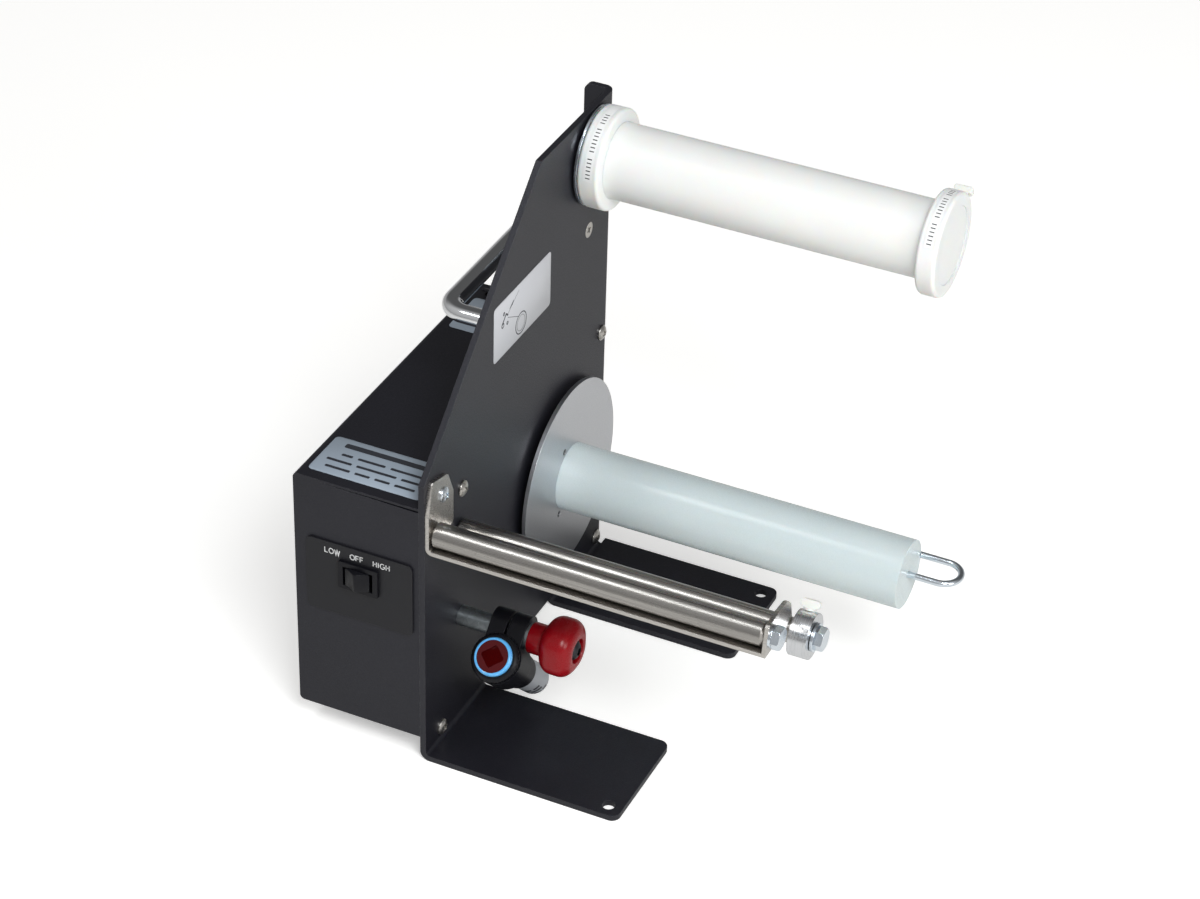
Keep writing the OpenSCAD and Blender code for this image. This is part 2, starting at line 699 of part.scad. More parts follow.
// Flanged plain bearing in the side plate.
module shaft_bearing() color([0.72, 0.55, 0.30]) place(0, takeup_y, takeup_z) {
    translate([-plate_t, 0, 0]) ring_x(bearing_d, shaft_d + 2 * fit, plate_t + eps);
    ring_x(bearing_flange_d, shaft_d + 2 * fit, bearing_flange_t);
}

module drive_shaft() color([0.70, 0.71, 0.73]) place(-plate_t - shaft_back, takeup_y, takeup_z)
    rod_x(shaft_d, shaft_back + plate_t + core_x + shaft_front);

// Control board on four spacers off the housing's left wall.
module board_holes() for (y = [board_hole_inset, board_w - board_hole_inset],
                          z = [board_hole_inset, board_h - board_hole_inset])
    translate([0, board_y + y, board_z + z]) children();

module circuit_board() color([0.12, 0.38, 0.20]) place(board_x, 0, 0) difference() {
    union() {
        translate([0, board_y, board_z]) cube([board_t, board_w, board_h]);
        translate([board_t - eps, board_y + 12, board_z + 58]) cube(board_relay);
        translate([board_t - eps, board_y + 44, board_z + 60]) cube(board_plug);
        for (y = [16, 28, 40]) translate([board_t - eps, board_y + y, board_z + 76]) rod_x(8, 10);
    }
    board_holes() hole_x(board_screw_d + 2 * fit, board_t);
}

module board_spacers() color([0.80, 0.78, 0.70]) place(housing_x + housing_t, 0, 0) board_holes() {
    rod_x(spacer_d, board_gap);
    translate([board_gap - eps, 0, 0]) rod_x(board_screw_d, board_t + 1.4);
}

// Power inlet in the housing's back wall.
module power_jack() color([0.06, 0.06, 0.06]) place(jack_x, housing_d, jack_z) rotate([-90, 0, 0])
    difference() {
        union() {
            translate([0, 0, -housing_t - jack_l]) cylinder(d = jack_d, h = housing_t + jack_l);
            cylinder(d = jack_d + 4, h = 2.2);
            translate([0, 0, -housing_t - 3]) cylinder(d = jack_d + 5, h = 3, $fn = 6);
        }
        translate([0, 0, 4 - jack_l]) difference() {
            cylinder(d = jack_bore_d, h = jack_l);
            translate([0, 0, -1]) cylinder(d = jack_pin_d, h = 9);
        }
    }

// The take-up: hub, disc, core and pull-out liner clip turn with the drive shaft.
module disc_screw_holes() for (i = [0 : 2])
    rotate([disc_screw_angle + 120 * i, 0, 0]) translate([0, disc_screw_pcd / 2, 0]) children();

module takeup_hub() color([0.66, 0.67, 0.69]) place(hub_x, takeup_y, takeup_z) difference() {
    rod_x(hub_d, disc_x - hub_x);
    hole_x(shaft_d + 2 * fit, disc_x - hub_x);
    disc_screw_holes() hole_x(disc_screw_d + 2 * fit, disc_x - hub_x);
}

module takeup_disc() color([0.62, 0.63, 0.65]) place(disc_x, takeup_y, takeup_z) difference() {
    rod_x(disc_d, disc_t);
    hole_x(shaft_d + 2 * fit, disc_t);
    disc_screw_holes() hole_x(disc_screw_d + 1, disc_t);
}

// Small set screws sunk in the disc's holes.
module disc_screws() color([0.20, 0.20, 0.21]) place(disc_x, takeup_y, takeup_z) disc_screw_holes() {
    translate([-(disc_x - hub_x) + 0.2, 0, 0]) rod_x(disc_screw_d, disc_x - hub_x);
    translate([eps, 0, 0]) difference() {
        rod_x(disc_screw_d + 0.8, disc_t - 0.6);
        translate([disc_t - 1.4, 0, 0]) along_x() cylinder(d = 1.5, h = 2, $fn = 6);
    }
}

module takeup_core() color([0.72, 0.79, 0.78]) place(core_x, takeup_y, takeup_z) difference() {
    rod_x(core_d, core_l);
    hole_x(shaft_d + 2 * fit, shaft_front);
    translate([core_l - clip_leg_l - 1, 0, 0]) hole_x(groove_w, clip_leg_l + 1);
    translate([core_l - clip_leg_l - 1, 2 * clip_r - groove_w / 2, -groove_w / 2])
        cube([clip_leg_l + 2, core_d, groove_w]);
}

// Liner clip: a wire bow with one leg on the core's axis and one in its rim groove.
module takeup_clip() color([0.75, 0.77, 0.80]) place(core_x + core_l, takeup_y, takeup_z) {
    for (y = [0, 2 * clip_r]) translate([-clip_leg_l, y, 0]) rod_x(clip_wire_d, clip_leg_l + clip_stand);
    translate([clip_stand, clip_r, 0]) rotate([0, 0, -90]) rotate_extrude(angle = 180)
        translate([clip_r, 0]) circle(d = clip_wire_d);
}

// The supply spool on its fixed axle.
module supply_axle() color([0.68, 0.69, 0.71]) place(0, supply_y, supply_z) {
    translate([-plate_t - 11, 0, 0]) rod_x(axle_thread_d, plate_t + 11 + eps);
    rod_x(axle_collar_d, axle_collar_t);
    translate([axle_collar_t - eps, 0, 0]) rod_x(supply_axle_d, axle_l);
}

module axle_nut() color([0.66, 0.68, 0.72]) place(-plate_t, supply_y, supply_z) difference() {
    union() {
        translate([-axle_washer_t, 0, 0]) rod_x(axle_nut_af + 3, axle_washer_t);
        translate([-axle_washer_t - axle_nut_h, 0, 0]) along_x() intersection() {
            cylinder(d = axle_nut_af / cos(30), h = axle_nut_h + eps, $fn = 6);
            cylinder(d1 = axle_nut_af + 0.4, d2 = 2.5 * axle_nut_af, h = axle_nut_h + 2);
        }
    }
    translate([-10, 0, 0]) hole_x(axle_thread_d + 2 * fit, 10);
}

module supply_washer() color([0.74, 0.75, 0.77]) place(axle_collar_t, supply_y, supply_z)
    ring_x(spool_flange_d - 0.6, supply_axle_d + 2 * fit, washer_t);

module supply_tube() color([0.93, 0.95, 0.94]) place(supply_x, supply_y, supply_z) difference() {
    rod_x(supply_tube_d, supply_tube_l);
    hole_x(supply_axle_d + 2 * fit, axle_l - washer_t);
}

// Flange ring with a rounded rim, along +X from x = 0.
module spool_flange(t, angle) difference() {
    along_x() rotate_extrude() translate([supply_tube_d / 2 + fit, 0]) {
        w = (spool_flange_d - supply_tube_d) / 2 - fit;
        square([w - flange_rim_r, t]);
        translate([0, flange_rim_r]) square([w, t - 2 * flange_rim_r]);
        for (z = [flange_rim_r, t - flange_rim_r]) translate([w - flange_rim_r, z])
            circle(flange_rim_r, $fn = 32);
    }
    flange_thumb(t, angle) translate([0, 0, -spool_flange_d / 2])
        cylinder(d = thumb_d + 2 * fit, h = spool_flange_d / 2 + 1);
}

// Sets a thumb screw on the flange's rim; angle is from +Y towards +Z.
module flange_thumb(t, angle) translate([t / 2, 0, 0]) rotate([angle - 90, 0, 0])
    translate([0, 0, spool_flange_d / 2]) children();

module inner_flange() color([0.92, 0.93, 0.92]) place(supply_x, supply_y, supply_z)
    spool_flange(inner_flange_t, thumb_angle_inner);

module outer_flange() color([0.93, 0.93, 0.94]) place(outer_flange_x, supply_y, supply_z)
    spool_flange(outer_flange_t, thumb_angle_outer);

module inner_flange_screw() color([0.90, 0.90, 0.88]) place(supply_x, supply_y, supply_z)
    flange_thumb(inner_flange_t, thumb_angle_inner) thumb_screw(thumb_d, flange_thumb_stem);

module outer_flange_screw() color([0.90, 0.90, 0.88]) place(outer_flange_x, supply_y, supply_z)
    flange_thumb(outer_flange_t, thumb_angle_outer) thumb_screw(thumb_d, flange_thumb_stem);

// The strip bar: a bent stainless bracket with an ear at each end.
module ear_hole(y, z, d) translate([y, z - strip_z]) circle(d = d + 2 * fit);

module left_ear() difference() {
    polygon([[strip_y, 0], each left_ear_top, [strip_back, 0]]);
    ear_hole(ear_screw_y, ear_screw_z, screw_d);
    ear_hole(front_rod_y, front_rod_z, rod_screw_d);
}

module right_ear() difference() {
    polygon([[strip_y, 0], each right_ear_top]);
    ear_hole(front_rod_y, front_rod_z, rod_screw_d);
}

module strip_bracket() color([0.70, 0.68, 0.65]) place(0, 0, strip_z) {
    bend = strip_bend + strip_t;
    difference() {
        along_x() linear_extrude(strip_t) left_ear();
        translate([-1, -1, -1]) cube([strip_t + 2, strip_d + 6, bend + 1]);
    }
    translate([0, strip_y, bend]) translate([bend, 0, 0]) rotate([-90, 0, 0]) rotate([0, 0, 90])
        rotate_extrude(angle = 90) translate([strip_bend, 0]) square([strip_t, strip_d]);
    translate([bend, strip_y, 0]) cube([strip_l - bend - strip_t + eps, strip_d, strip_t]);
    translate([strip_l - strip_t, 0, 0]) along_x() linear_extrude(strip_t) right_ear();
}

module bracket_screw() color([0.75, 0.77, 0.80]) place(strip_t, ear_screw_y, ear_screw_z)
    pan_screw(screw_d, 7.6, 2.2, strip_t + plate_t);

// Guide rod of length l with a tapped hole in each end.
module tapped_rod(l) difference() {
    guide_rod(rod_d, l, rod_chamfer);
    hole_x(rod_screw_d + 2 * fit, rod_tap_l);
    translate([l - rod_tap_l, 0, 0]) hole_x(rod_screw_d + 2 * fit, rod_tap_l);
}

module front_rod() color([0.74, 0.72, 0.70]) place(strip_t, front_rod_y, front_rod_z)
    tapped_rod(strip_l - 2 * strip_t);

module rear_rod() color([0.72, 0.72, 0.72]) place(0, rear_rod_y, rear_rod_z) tapped_rod(rear_rod_l);

// Screws from inside the housing that hold the rods and the sensor post.
module rod_screws() color([0.72, 0.72, 0.74])
    for (p = [[front_rod_y, front_rod_z], [rear_rod_y, rear_rod_z], [post_y, post_z]])
        place(-plate_t, p[0], p[1]) mirror([1, 0, 0])
            pan_screw(rod_screw_d, rod_head_d, 3.4, plate_t + strip_t + rod_grip_l);

module rod_washers() color([0.72, 0.74, 0.77]) {
    place(strip_l, front_rod_y, front_rod_z) ring_x(rod_washer_d, rod_screw_d + 2 * fit, rod_washer_t);
    place(rear_rod_l, rear_rod_y, rear_rod_z) ring_x(rear_washer_d, rod_screw_d + 2 * fit, rod_washer_t);
}

module rod_bolts() color([0.72, 0.76, 0.80]) {
    place(strip_l + rod_washer_t, front_rod_y, front_rod_z)
        hex_bolt(rod_screw_d, hex_af, hex_h, rod_washer_t + strip_t + rod_grip_l);
    place(rear_rod_l + rod_washer_t, rear_rod_y, rear_rod_z)
        hex_bolt(rod_screw_d, hex_af, hex_h, rod_washer_t + rod_grip_l);
}

module guide_collar() color([0.80, 0.81, 0.83]) place(collar_x, rear_rod_y, rear_rod_z) difference() {
    rod_x(collar_d, collar_t);
    hole_x(rod_d + 2 * fit, collar_t);
    collar_thumb() translate([0, 0, -collar_d / 2]) cylinder(d = collar_thumb_d + 2 * fit, h = collar_d);
}

// Sets a thumb screw on the guide collar's rim.
module collar_thumb() translate([collar_t / 2 - 0.6, 0, 0]) rotate([collar_screw_angle - 90, 0, 0])
    translate([0, 0, collar_d / 2]) children();

module collar_screw() color([0.90, 0.90, 0.87]) place(collar_x, rear_rod_y, rear_rod_z)
    collar_thumb() thumb_screw(collar_thumb_d, collar_thumb_stem);

// The label sensor on its clamp; z runs along the sensor, y away from its axis.
module sensor_post() color([0.62, 0.66, 0.68]) place(0, post_y, post_z) difference() {
    rod_x(post_d, post_l);
    hole_x(rod_screw_d + 2 * fit, rod_tap_l);
    translate([post_l - post_tap_l, 0, 0]) hole_x(knob_screw_d + 2 * fit, post_tap_l);
}

module sensor_frame() place(sensor_x, post_y, post_z) rotate([sensor_tilt, 0, 0]) children();

module on_sensor_axis(z) sensor_frame() translate([0, -sensor_drop, z]) children();

module sensor_clamp() color([0.09, 0.09, 0.10]) sensor_frame() difference() {
    union() {
        translate([0, -sensor_drop, -ring_l / 2]) cylinder(d = barrel_d + 2 * ring_wall, h = ring_l);
        translate([-clamp_half, 0, 0]) along_x() linear_extrude(2 * clamp_half) union() {
            translate([clamp_ear, 0]) circle(ring_l / 2);
            translate([-sensor_drop, -ring_l / 2]) square([sensor_drop + clamp_ear, ring_l]);
        }
    }
    translate([0, -sensor_drop, -ring_l / 2 - 1]) cylinder(d = barrel_d + 2 * fit, h = ring_l + 2);
    translate([-clamp_slit / 2, -sensor_drop, -ring_l / 2 - 1])
        cube([clamp_slit, sensor_drop + clamp_ear + ring_l, ring_l + 2]);
    translate([-clamp_half - 1, 0, 0]) rod_x(post_d + 2 * fit, clamp_half + 1);
    rod_x(knob_screw_d + 2 * fit, clamp_half + 1);
}

module sensor_barrel() color([0.20, 0.20, 0.21]) on_sensor_axis(lens_up - blue_l - barrel_l)
    cylinder(d = barrel_d, h = barrel_l);

module sensor_nut() color([0.10, 0.10, 0.11]) on_sensor_axis(lens_up - blue_l - nut_l) difference() {
    union() {
        cylinder(d = nut_d, h = nut_l - nut_chamfer);
        translate([0, 0, nut_l - nut_chamfer])
            cylinder(d1 = nut_d, d2 = nut_d - 2 * nut_chamfer, h = nut_chamfer);
    }
    translate([0, 0, -1]) cylinder(d = barrel_d + 2 * fit, h = nut_l + 2);
}

module sensor_ring() color([0.20, 0.55, 0.85]) on_sensor_axis(lens_up - blue_l) difference() {
    cylinder(d = blue_d, h = blue_l);
    translate([0, 0, -1]) cylinder(d = lens_d + 2 * fit, h = blue_l + 2);
}

module sensor_lens() color([0.30, 0.03, 0.05]) on_sensor_axis(lens_up - blue_l) difference() {
    cylinder(d = lens_d, h = blue_l - lens_sink);
    translate([0, 0, blue_l - 0.9]) rotate(45)
        translate([-lens_window / 2, -lens_window / 2, 0]) cube([lens_window, lens_window, 2]);
}

module sensor_tail() color([0.72, 0.74, 0.76]) on_sensor_axis(lens_up - sensor_l) {
    l = sensor_l - blue_l - barrel_l;
    translate([0, 0, tail_chamfer]) cylinder(d = tail_d, h = l - tail_chamfer);
    cylinder(d1 = tail_d - 2 * tail_chamfer, d2 = tail_d, h = tail_chamfer);
}

module knob_washer() color([0.72, 0.74, 0.77]) place(sensor_x + clamp_half, post_y, post_z)
    ring_x(knob_neck_d - 2, knob_screw_d + 2 * fit, knob_washer_t - gap);

// Red clamping knob: neck, scalloped mushroom head and a sunk seat for its screw.
module knob_profile() {
    r = knob_d / 2;
    square([knob_neck_d / 2, knob_neck_l + 1]);
    translate([0, knob_neck_l]) square([r - knob_round, knob_head_l]);
    translate([0, knob_neck_l + knob_round]) square([r, knob_head_l - 2 * knob_round]);
    for (z = [knob_round, knob_head_l - knob_round])
        translate([r - knob_round, knob_neck_l + z]) circle(knob_round);
}

module clamp_knob() color([0.62, 0.05, 0.08]) place(knob_x, post_y, post_z) along_x() difference() {
    rotate_extrude() knob_profile();
    for (i = [0 : knob_lobes - 1]) rotate(360 / knob_lobes * i + 20)
        translate([knob_d / 2 + knob_scallop_r - knob_scallop_depth, 0, knob_neck_l - 1])
            cylinder(r = knob_scallop_r, h = knob_head_l + 2);
    translate([0, 0, -1]) cylinder(d = knob_screw_d + 2 * fit, h = knob_l + 2);
    translate([0, 0, knob_l - knob_seat]) cylinder(d = knob_screw_head_d + 1.6, h = knob_seat + 1);
}

// Button head screw that holds the knob to the post.
module knob_screw() color([0.14, 0.14, 0.15]) place(knob_x + knob_l - knob_seat, post_y, post_z) along_x()
    difference() {
        union() {
            dome(knob_screw_head_d, knob_screw_head_h, 0.4);
            translate([0, 0, -knob_screw_l]) cylinder(d = knob_screw_d, h = knob_screw_l + eps);
        }
        translate([0, 0, knob_screw_head_h - 1.8]) cylinder(d = 4.6, h = 3, $fn = 6);
    }

side_plate();
plate_screws();
housing_cover();
housing_feet();
carry_handle();
handle_screws();
switch_panel();
switch_body();
switch_rocker();
drive_gearbox();
drive_motor();
gearbox_screws();
shaft_bearing();
drive_shaft();
circuit_board();
board_spacers();
power_jack();
takeup_hub();
takeup_disc();
disc_screws();
takeup_core();
takeup_clip();
supply_axle();
axle_nut();
supply_washer();
supply_tube();
inner_flange();
outer_flange();
inner_flange_screw();
outer_flange_screw();
strip_bracket();
bracket_screw();
front_rod();
rear_rod();
rod_screws();
rod_washers();
rod_bolts();
guide_collar();
collar_screw();
sensor_post();
sensor_clamp();
sensor_barrel();
sensor_nut();
sensor_ring();
sensor_lens();
sensor_tail();
knob_washer();
clamp_knob();
knob_screw();
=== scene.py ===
"""Looks of the bench-top label dispenser, built around its packed construction.

Every length is in millimetres until a mesh is written, and in metres after that.
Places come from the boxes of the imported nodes, so a piece follows its node.
"""

import logging
import math
from dataclasses import dataclass, replace
from enum import Enum

import bmesh
import bpy
import numpy as np
from mathutils import Matrix, Vector


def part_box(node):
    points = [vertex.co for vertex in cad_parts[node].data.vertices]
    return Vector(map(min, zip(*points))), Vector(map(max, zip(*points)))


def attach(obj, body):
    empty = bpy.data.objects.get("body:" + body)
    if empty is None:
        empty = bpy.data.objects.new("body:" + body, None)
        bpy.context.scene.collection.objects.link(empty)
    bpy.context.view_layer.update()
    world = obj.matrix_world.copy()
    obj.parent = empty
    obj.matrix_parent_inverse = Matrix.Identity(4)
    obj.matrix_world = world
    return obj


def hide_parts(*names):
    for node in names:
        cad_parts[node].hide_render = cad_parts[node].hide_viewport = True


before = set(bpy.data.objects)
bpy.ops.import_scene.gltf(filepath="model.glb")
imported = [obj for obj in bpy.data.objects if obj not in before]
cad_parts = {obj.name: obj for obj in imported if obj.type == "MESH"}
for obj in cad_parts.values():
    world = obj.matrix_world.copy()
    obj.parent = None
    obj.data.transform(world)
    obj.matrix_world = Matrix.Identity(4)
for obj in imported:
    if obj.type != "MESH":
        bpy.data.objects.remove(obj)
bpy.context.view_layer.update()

LOG = logging.getLogger("label_dispenser")
MM = 0.001
MERGE = 0.001 * MM
Colour = Place = tuple[float, float, float]
Pair = tuple[float, float]
Points = np.ndarray
Node = bpy.types.Node
Socket = bpy.types.NodeSocket


class Axis(Enum):
    """Directions along which a surface is drawn, ground or turned."""

    X = 0
    Y = 1


@dataclass(frozen=True)
class Span:
    """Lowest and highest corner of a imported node, in millimetres."""

    low: Points
    high: Points

    @property
    def centre(self) -> Points:
        """Middle of the box."""
        return (self.low + self.high) / 2

    @property
    def size(self) -> Points:
        """Edge lengths of the box."""
        return self.high - self.low


def span(node: str) -> Span:
    """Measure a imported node's box at rest, in millimetres."""
    low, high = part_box(node)
    return Span(np.array(low) / MM, np.array(high) / MM)


@dataclass(frozen=True)
class Seat:
    """A place and three directions in which a shape is laid out."""

    origin: Points
    across: Points
    up: Points
    along: Points

    def set(self, local: Points) -> Points:
        """Carry local points (x, y, z) to the frame, as origin + across*x + up*y + along*z."""
        basis = np.stack([self.across, self.up, self.along])
        return self.origin + local @ basis


def seat_on_x(origin: Points) -> Seat:
    """Seat whose third direction runs along +X, with +Y across and +Z up."""
    return Seat(np.array(origin, float), *np.eye(3)[[1, 2, 0]])


def seat_on_z(origin: Points) -> Seat:
    """Seat whose third direction runs along +Z, with +X across and +Y up."""
    return Seat(np.array(origin, float), *np.eye(3)[[0, 1, 2]])


def soften(corners: Points, radius: float, steps: int = 5, closed: bool = False) -> Points:
    """Round the corners of an outline.

    Each corner p becomes the curve p + (1-s)^2*a*t + s^2*b*t for s from 0 to 1,
    where a and b point to its neighbours and t is the tangent length.

    Args:
        corners: outline points, one row each.
        radius: rounding wanted at every corner.
        steps: spans on each rounded corner.
        closed: whether the last point joins the first.

    Returns:
        The rounded outline.
    """
    corners = np.asarray(corners, float)
    before, after = np.roll(corners, 1, axis=0), np.roll(corners, -1, axis=0)
    a, b = before - corners, after - corners
    la = np.linalg.norm(a, axis=1, keepdims=True)
    lb = np.linalg.norm(b, axis=1, keepdims=True)
    a, b = a / la, b / lb
    half = np.arccos(np.clip((a * b).sum(1, keepdims=True), -0.9999, 0.9999)) / 2
    t = np.minimum(radius / np.tan(half), 0.48 * np.minimum(la, lb))
    s = np.linspace(0, 1, steps + 1)[None, :, None]
    curve = corners[:, None] + (1 - s) ** 2 * (a * t)[:, None] + s**2 * (b * t)[:, None]
    if closed:
        return curve.reshape(-1, corners.shape[1])
    inner = curve[1:-1].reshape(-1, corners.shape[1])
    return np.vstack([corners[:1], inner, corners[-1:]])


def turned(profile: Points, turns: int, seat: Seat, dip: Points | float = 0.0) -> Points:
    """Turn a profile about a seat's third direction.

    The point at angle q is ((r - dip)*cos q, (r - dip)*sin q, h).

    Args:
        profile: rows of (h, r), height along the axis and radius.
        turns: points round the axis.
        seat: where the axis stands.
        dip: depth pressed into the radius at each row and angle.

    Returns:
        A grid of points, profile by angle.
    """
    q = np.linspace(0, 2 * math.pi, turns, endpoint=False)
    h, r = profile[:, 0, None], profile[:, 1, None] - dip
    local = np.stack([r * np.cos(q), r * np.sin(q), h + 0 * q], axis=-1)
    return seat.set(local)


def inset(outline: Points, distance: float) -> Points:
    """Move a closed outline inwards, each point along the mean of its edges' normals."""
    edge = np.roll(outline, -1, axis=0) - np.roll(outline, 1, axis=0)
    normal = np.stack([-edge[:, 1], edge[:, 0]], axis=1)
    normal /= np.linalg.norm(normal, axis=1, keepdims=True)
    after = np.roll(outline, -1, axis=0)
    area = np.sum(outline[:, 0] * after[:, 1] - after[:, 0] * outline[:, 1])
    return outline + normal * distance * (1 if area > 0 else -1)


def slab(outline: Points, thickness: float, bevel: float, seat: Seat) -> Points:
    """Extrude an outline into a slab with softened edges.

    Ring k is the outline, inset at the first and last height.

    Args:
        outline: closed outline in the seat's first two directions.
        thickness: extent along the seat's third direction.
        bevel: edge softening.
        seat: where the slab's underside lies.

    Returns:
        A grid of rings, bottom to top, which still needs two caps.
    """
    insets = bevel * np.array([1.0, 0.3, 0.0, 0.0, 0.3, 1.0])
    heights = np.array([0, 0.3, 1.0, 0, 0, 0]) * bevel
    heights[3:] = thickness - heights[2::-1]
    level = np.ones(len(outline))
    rings = [np.column_stack([inset(outline, d), h * level]) for d, h in zip(insets, heights)]
    return seat.set(np.stack(rings))


@dataclass(frozen=True)
class Drum:
    """A round face on which flat shapes are laid out."""

    seat: Seat
    radius: float

    def set(self, local: Points) -> Points:
        """Bend local points round the drum.

        The point (a, h, t) goes to the angle a / radius, height h and radius + t.
        """
        q, r = local[..., 0] / self.radius, self.radius + local[..., 2]
        return self.seat.set(np.stack([r * np.cos(q), r * np.sin(q), local[..., 1]], axis=-1))


Ground = Seat | Drum


def box_outline(width: float, height: float, radius: float, centre: Pair = (0.0, 0.0)) -> Points:
    """Rectangle with rounded corners about a centre."""
    signs = np.array([[-1, -1], [1, -1], [1, 1], [-1, 1]])
    return soften(signs * [width / 2, height / 2] + np.array(centre), radius, closed=True)


def ring_outline(radius: float, centre: Pair, points: int = 40) -> Points:
    """Closed path (r*cos q, r*sin q) about a centre, first point repeated."""
    q = np.linspace(0, 2 * math.pi, points + 1)
    return radius * np.column_stack([np.cos(q), np.sin(q)]) + np.array(centre)


def traced(path: Points, width: float, height: float, ground: Ground) -> Points:
    """Lay a flat bar along a path.

    Each path point p becomes a rectangle of points p -+ n*width/2 at heights 0 and
    height, where n is the path's normal, lengthened at corners to 1/cos(half turn).

    Args:
        path: points in the ground's first two directions.
        width: width of the bar.
        height: height of the bar above the ground.
        ground: the face on which the bar lies.

    Returns:
        A grid of rings along the path.
    """
    step = np.diff(path, axis=0)
    step /= np.linalg.norm(step, axis=1, keepdims=True)
    normal = np.stack([-step[:, 1], step[:, 0]], axis=1)
    closed = np.allclose(path[0], path[-1])
    first, last = (normal[-1:], normal[:1]) if closed else (normal[:1], normal[-1:])
    total = np.vstack([first, normal]) + np.vstack([normal, last])
    mitre = 2 * total / (total**2).sum(1, keepdims=True)
    side = np.array([-0.5, 0.5, 0.5, -0.5])[None, :, None] * width
    flat = path[:, None] + mitre[:, None] * side
    heights = np.broadcast_to(np.array([0, 0, height, height], float), flat.shape[:2])
    return ground.set(np.concatenate([flat, heights[..., None]], axis=-1))


def lobed(
    profile: Points, turns: int, seat: Seat, count: int, depth: float, power: float, share: Points
) -> Points:
    """Turn a profile whose radius dips at even angles.

    The radius at angle q is r - depth*share*(0.5 + 0.5*cos(count*q))^power.

    Args:
        profile: rows of (h, r).
        turns: points round the axis.
        seat: where the axis stands.
        count: number of dips.
        depth: depth of each dip.
        power: sharpness of the dips.
        share: part of the depth that each profile row gets.

    Returns:
        A grid of points, profile by angle.
    """
    q = np.linspace(0, 2 * math.pi, turns, endpoint=False)
    dip = depth * share[:, None] * (0.5 + 0.5 * np.cos(count * q)) ** power
    return turned(profile, turns, seat, dip)


def added(name: str, data: bpy.types.ID) -> bpy.types.Object:
    """Make an object of a mesh, camera or lamp and link it to the scene."""
    made = bpy.data.objects.new(name, data)
    bpy.context.scene.collection.objects.link(made)
    return made


class Skin:
    """Collects surfaces and writes them as one mesh."""

    def __init__(self) -> None:
        """Start with nothing in it."""
        self.points: list[Points] = []
        self.faces: list[list[int]] = []
        self.count = 0

    def sheet(self, grid: Points, looped: bool = False) -> "Skin":
        """Add a grid of points as quads, with each row joined round.

        Args:
            grid: points indexed by row and place in the row.
            looped: join the last row to the first.

        Returns:
            This skin.
        """
        rows, columns = grid.shape[:2]
        index = np.arange(rows * columns).reshape(rows, columns) + self.count
        index = np.vstack([index, index[:1]]) if looped else index
        index = np.hstack([index, index[:, :1]])
        quads = np.stack([index[:-1, :-1], index[:-1, 1:], index[1:, 1:], index[1:, :-1]], axis=-1)
        return self._take(grid.reshape(-1, 3), quads.reshape(-1, 4).tolist())

    def cap(self, ring: Points) -> "Skin":
        """Close a ring of points with one face."""
        return self._take(ring, [list(range(self.count, self.count + len(ring)))])

    def solid(self, grid: Points) -> "Skin":
        """Add rings joined round, with a cap at both ends."""
        return self.sheet(grid).cap(grid[0]).cap(grid[-1])

    def bar(self, path: Points, width: float, height: float, ground: Ground) -> "Skin":
        """Add a flat bar along a path, open or closed."""
        path = np.asarray(path, float)
        rings = traced(path, width, height, ground)
        return self.sheet(rings) if np.allclose(path[0], path[-1]) else self.solid(rings)

    def _take(self, points: Points, faces: list[list[int]]) -> "Skin":
        """Keep points and faces for the mesh."""
        self.points.append(points)
        self.faces.extend(faces)
        self.count += len(points)
        return self

    def build(self, name: str, finish: "Finish", sharp: float = 32.0) -> bpy.types.Object:
        """Write the mesh and link its object.

        Args:
            name: the piece's name.
            finish: what the piece is dressed in.
            sharp: edges steeper than this many degrees stay sharp.

        Returns:
            The piece, at the origin, with its place in its mesh.
        """
        mesh = bpy.data.meshes.new(name)
        mesh.from_pydata(np.vstack(self.points) * MM, [], self.faces)
        work = bmesh.new()
        work.from_mesh(mesh)
        bmesh.ops.remove_doubles(work, verts=work.verts, dist=MERGE)
        bmesh.ops.recalc_face_normals(work, faces=work.faces)
        work.to_mesh(mesh)
        work.free()
        mesh.materials.append(finish.material())
        mesh.shade_smooth()
        mesh.set_sharp_from_angle(angle=math.radians(sharp))
        return added(name, mesh)


def preset(node: Node, **values: object) -> None:
    """Set constants on a node's inputs. An underscore stands for a space in their names."""
    for label, value in values.items():
        node.inputs[label.replace("_", " ")].default_value = value


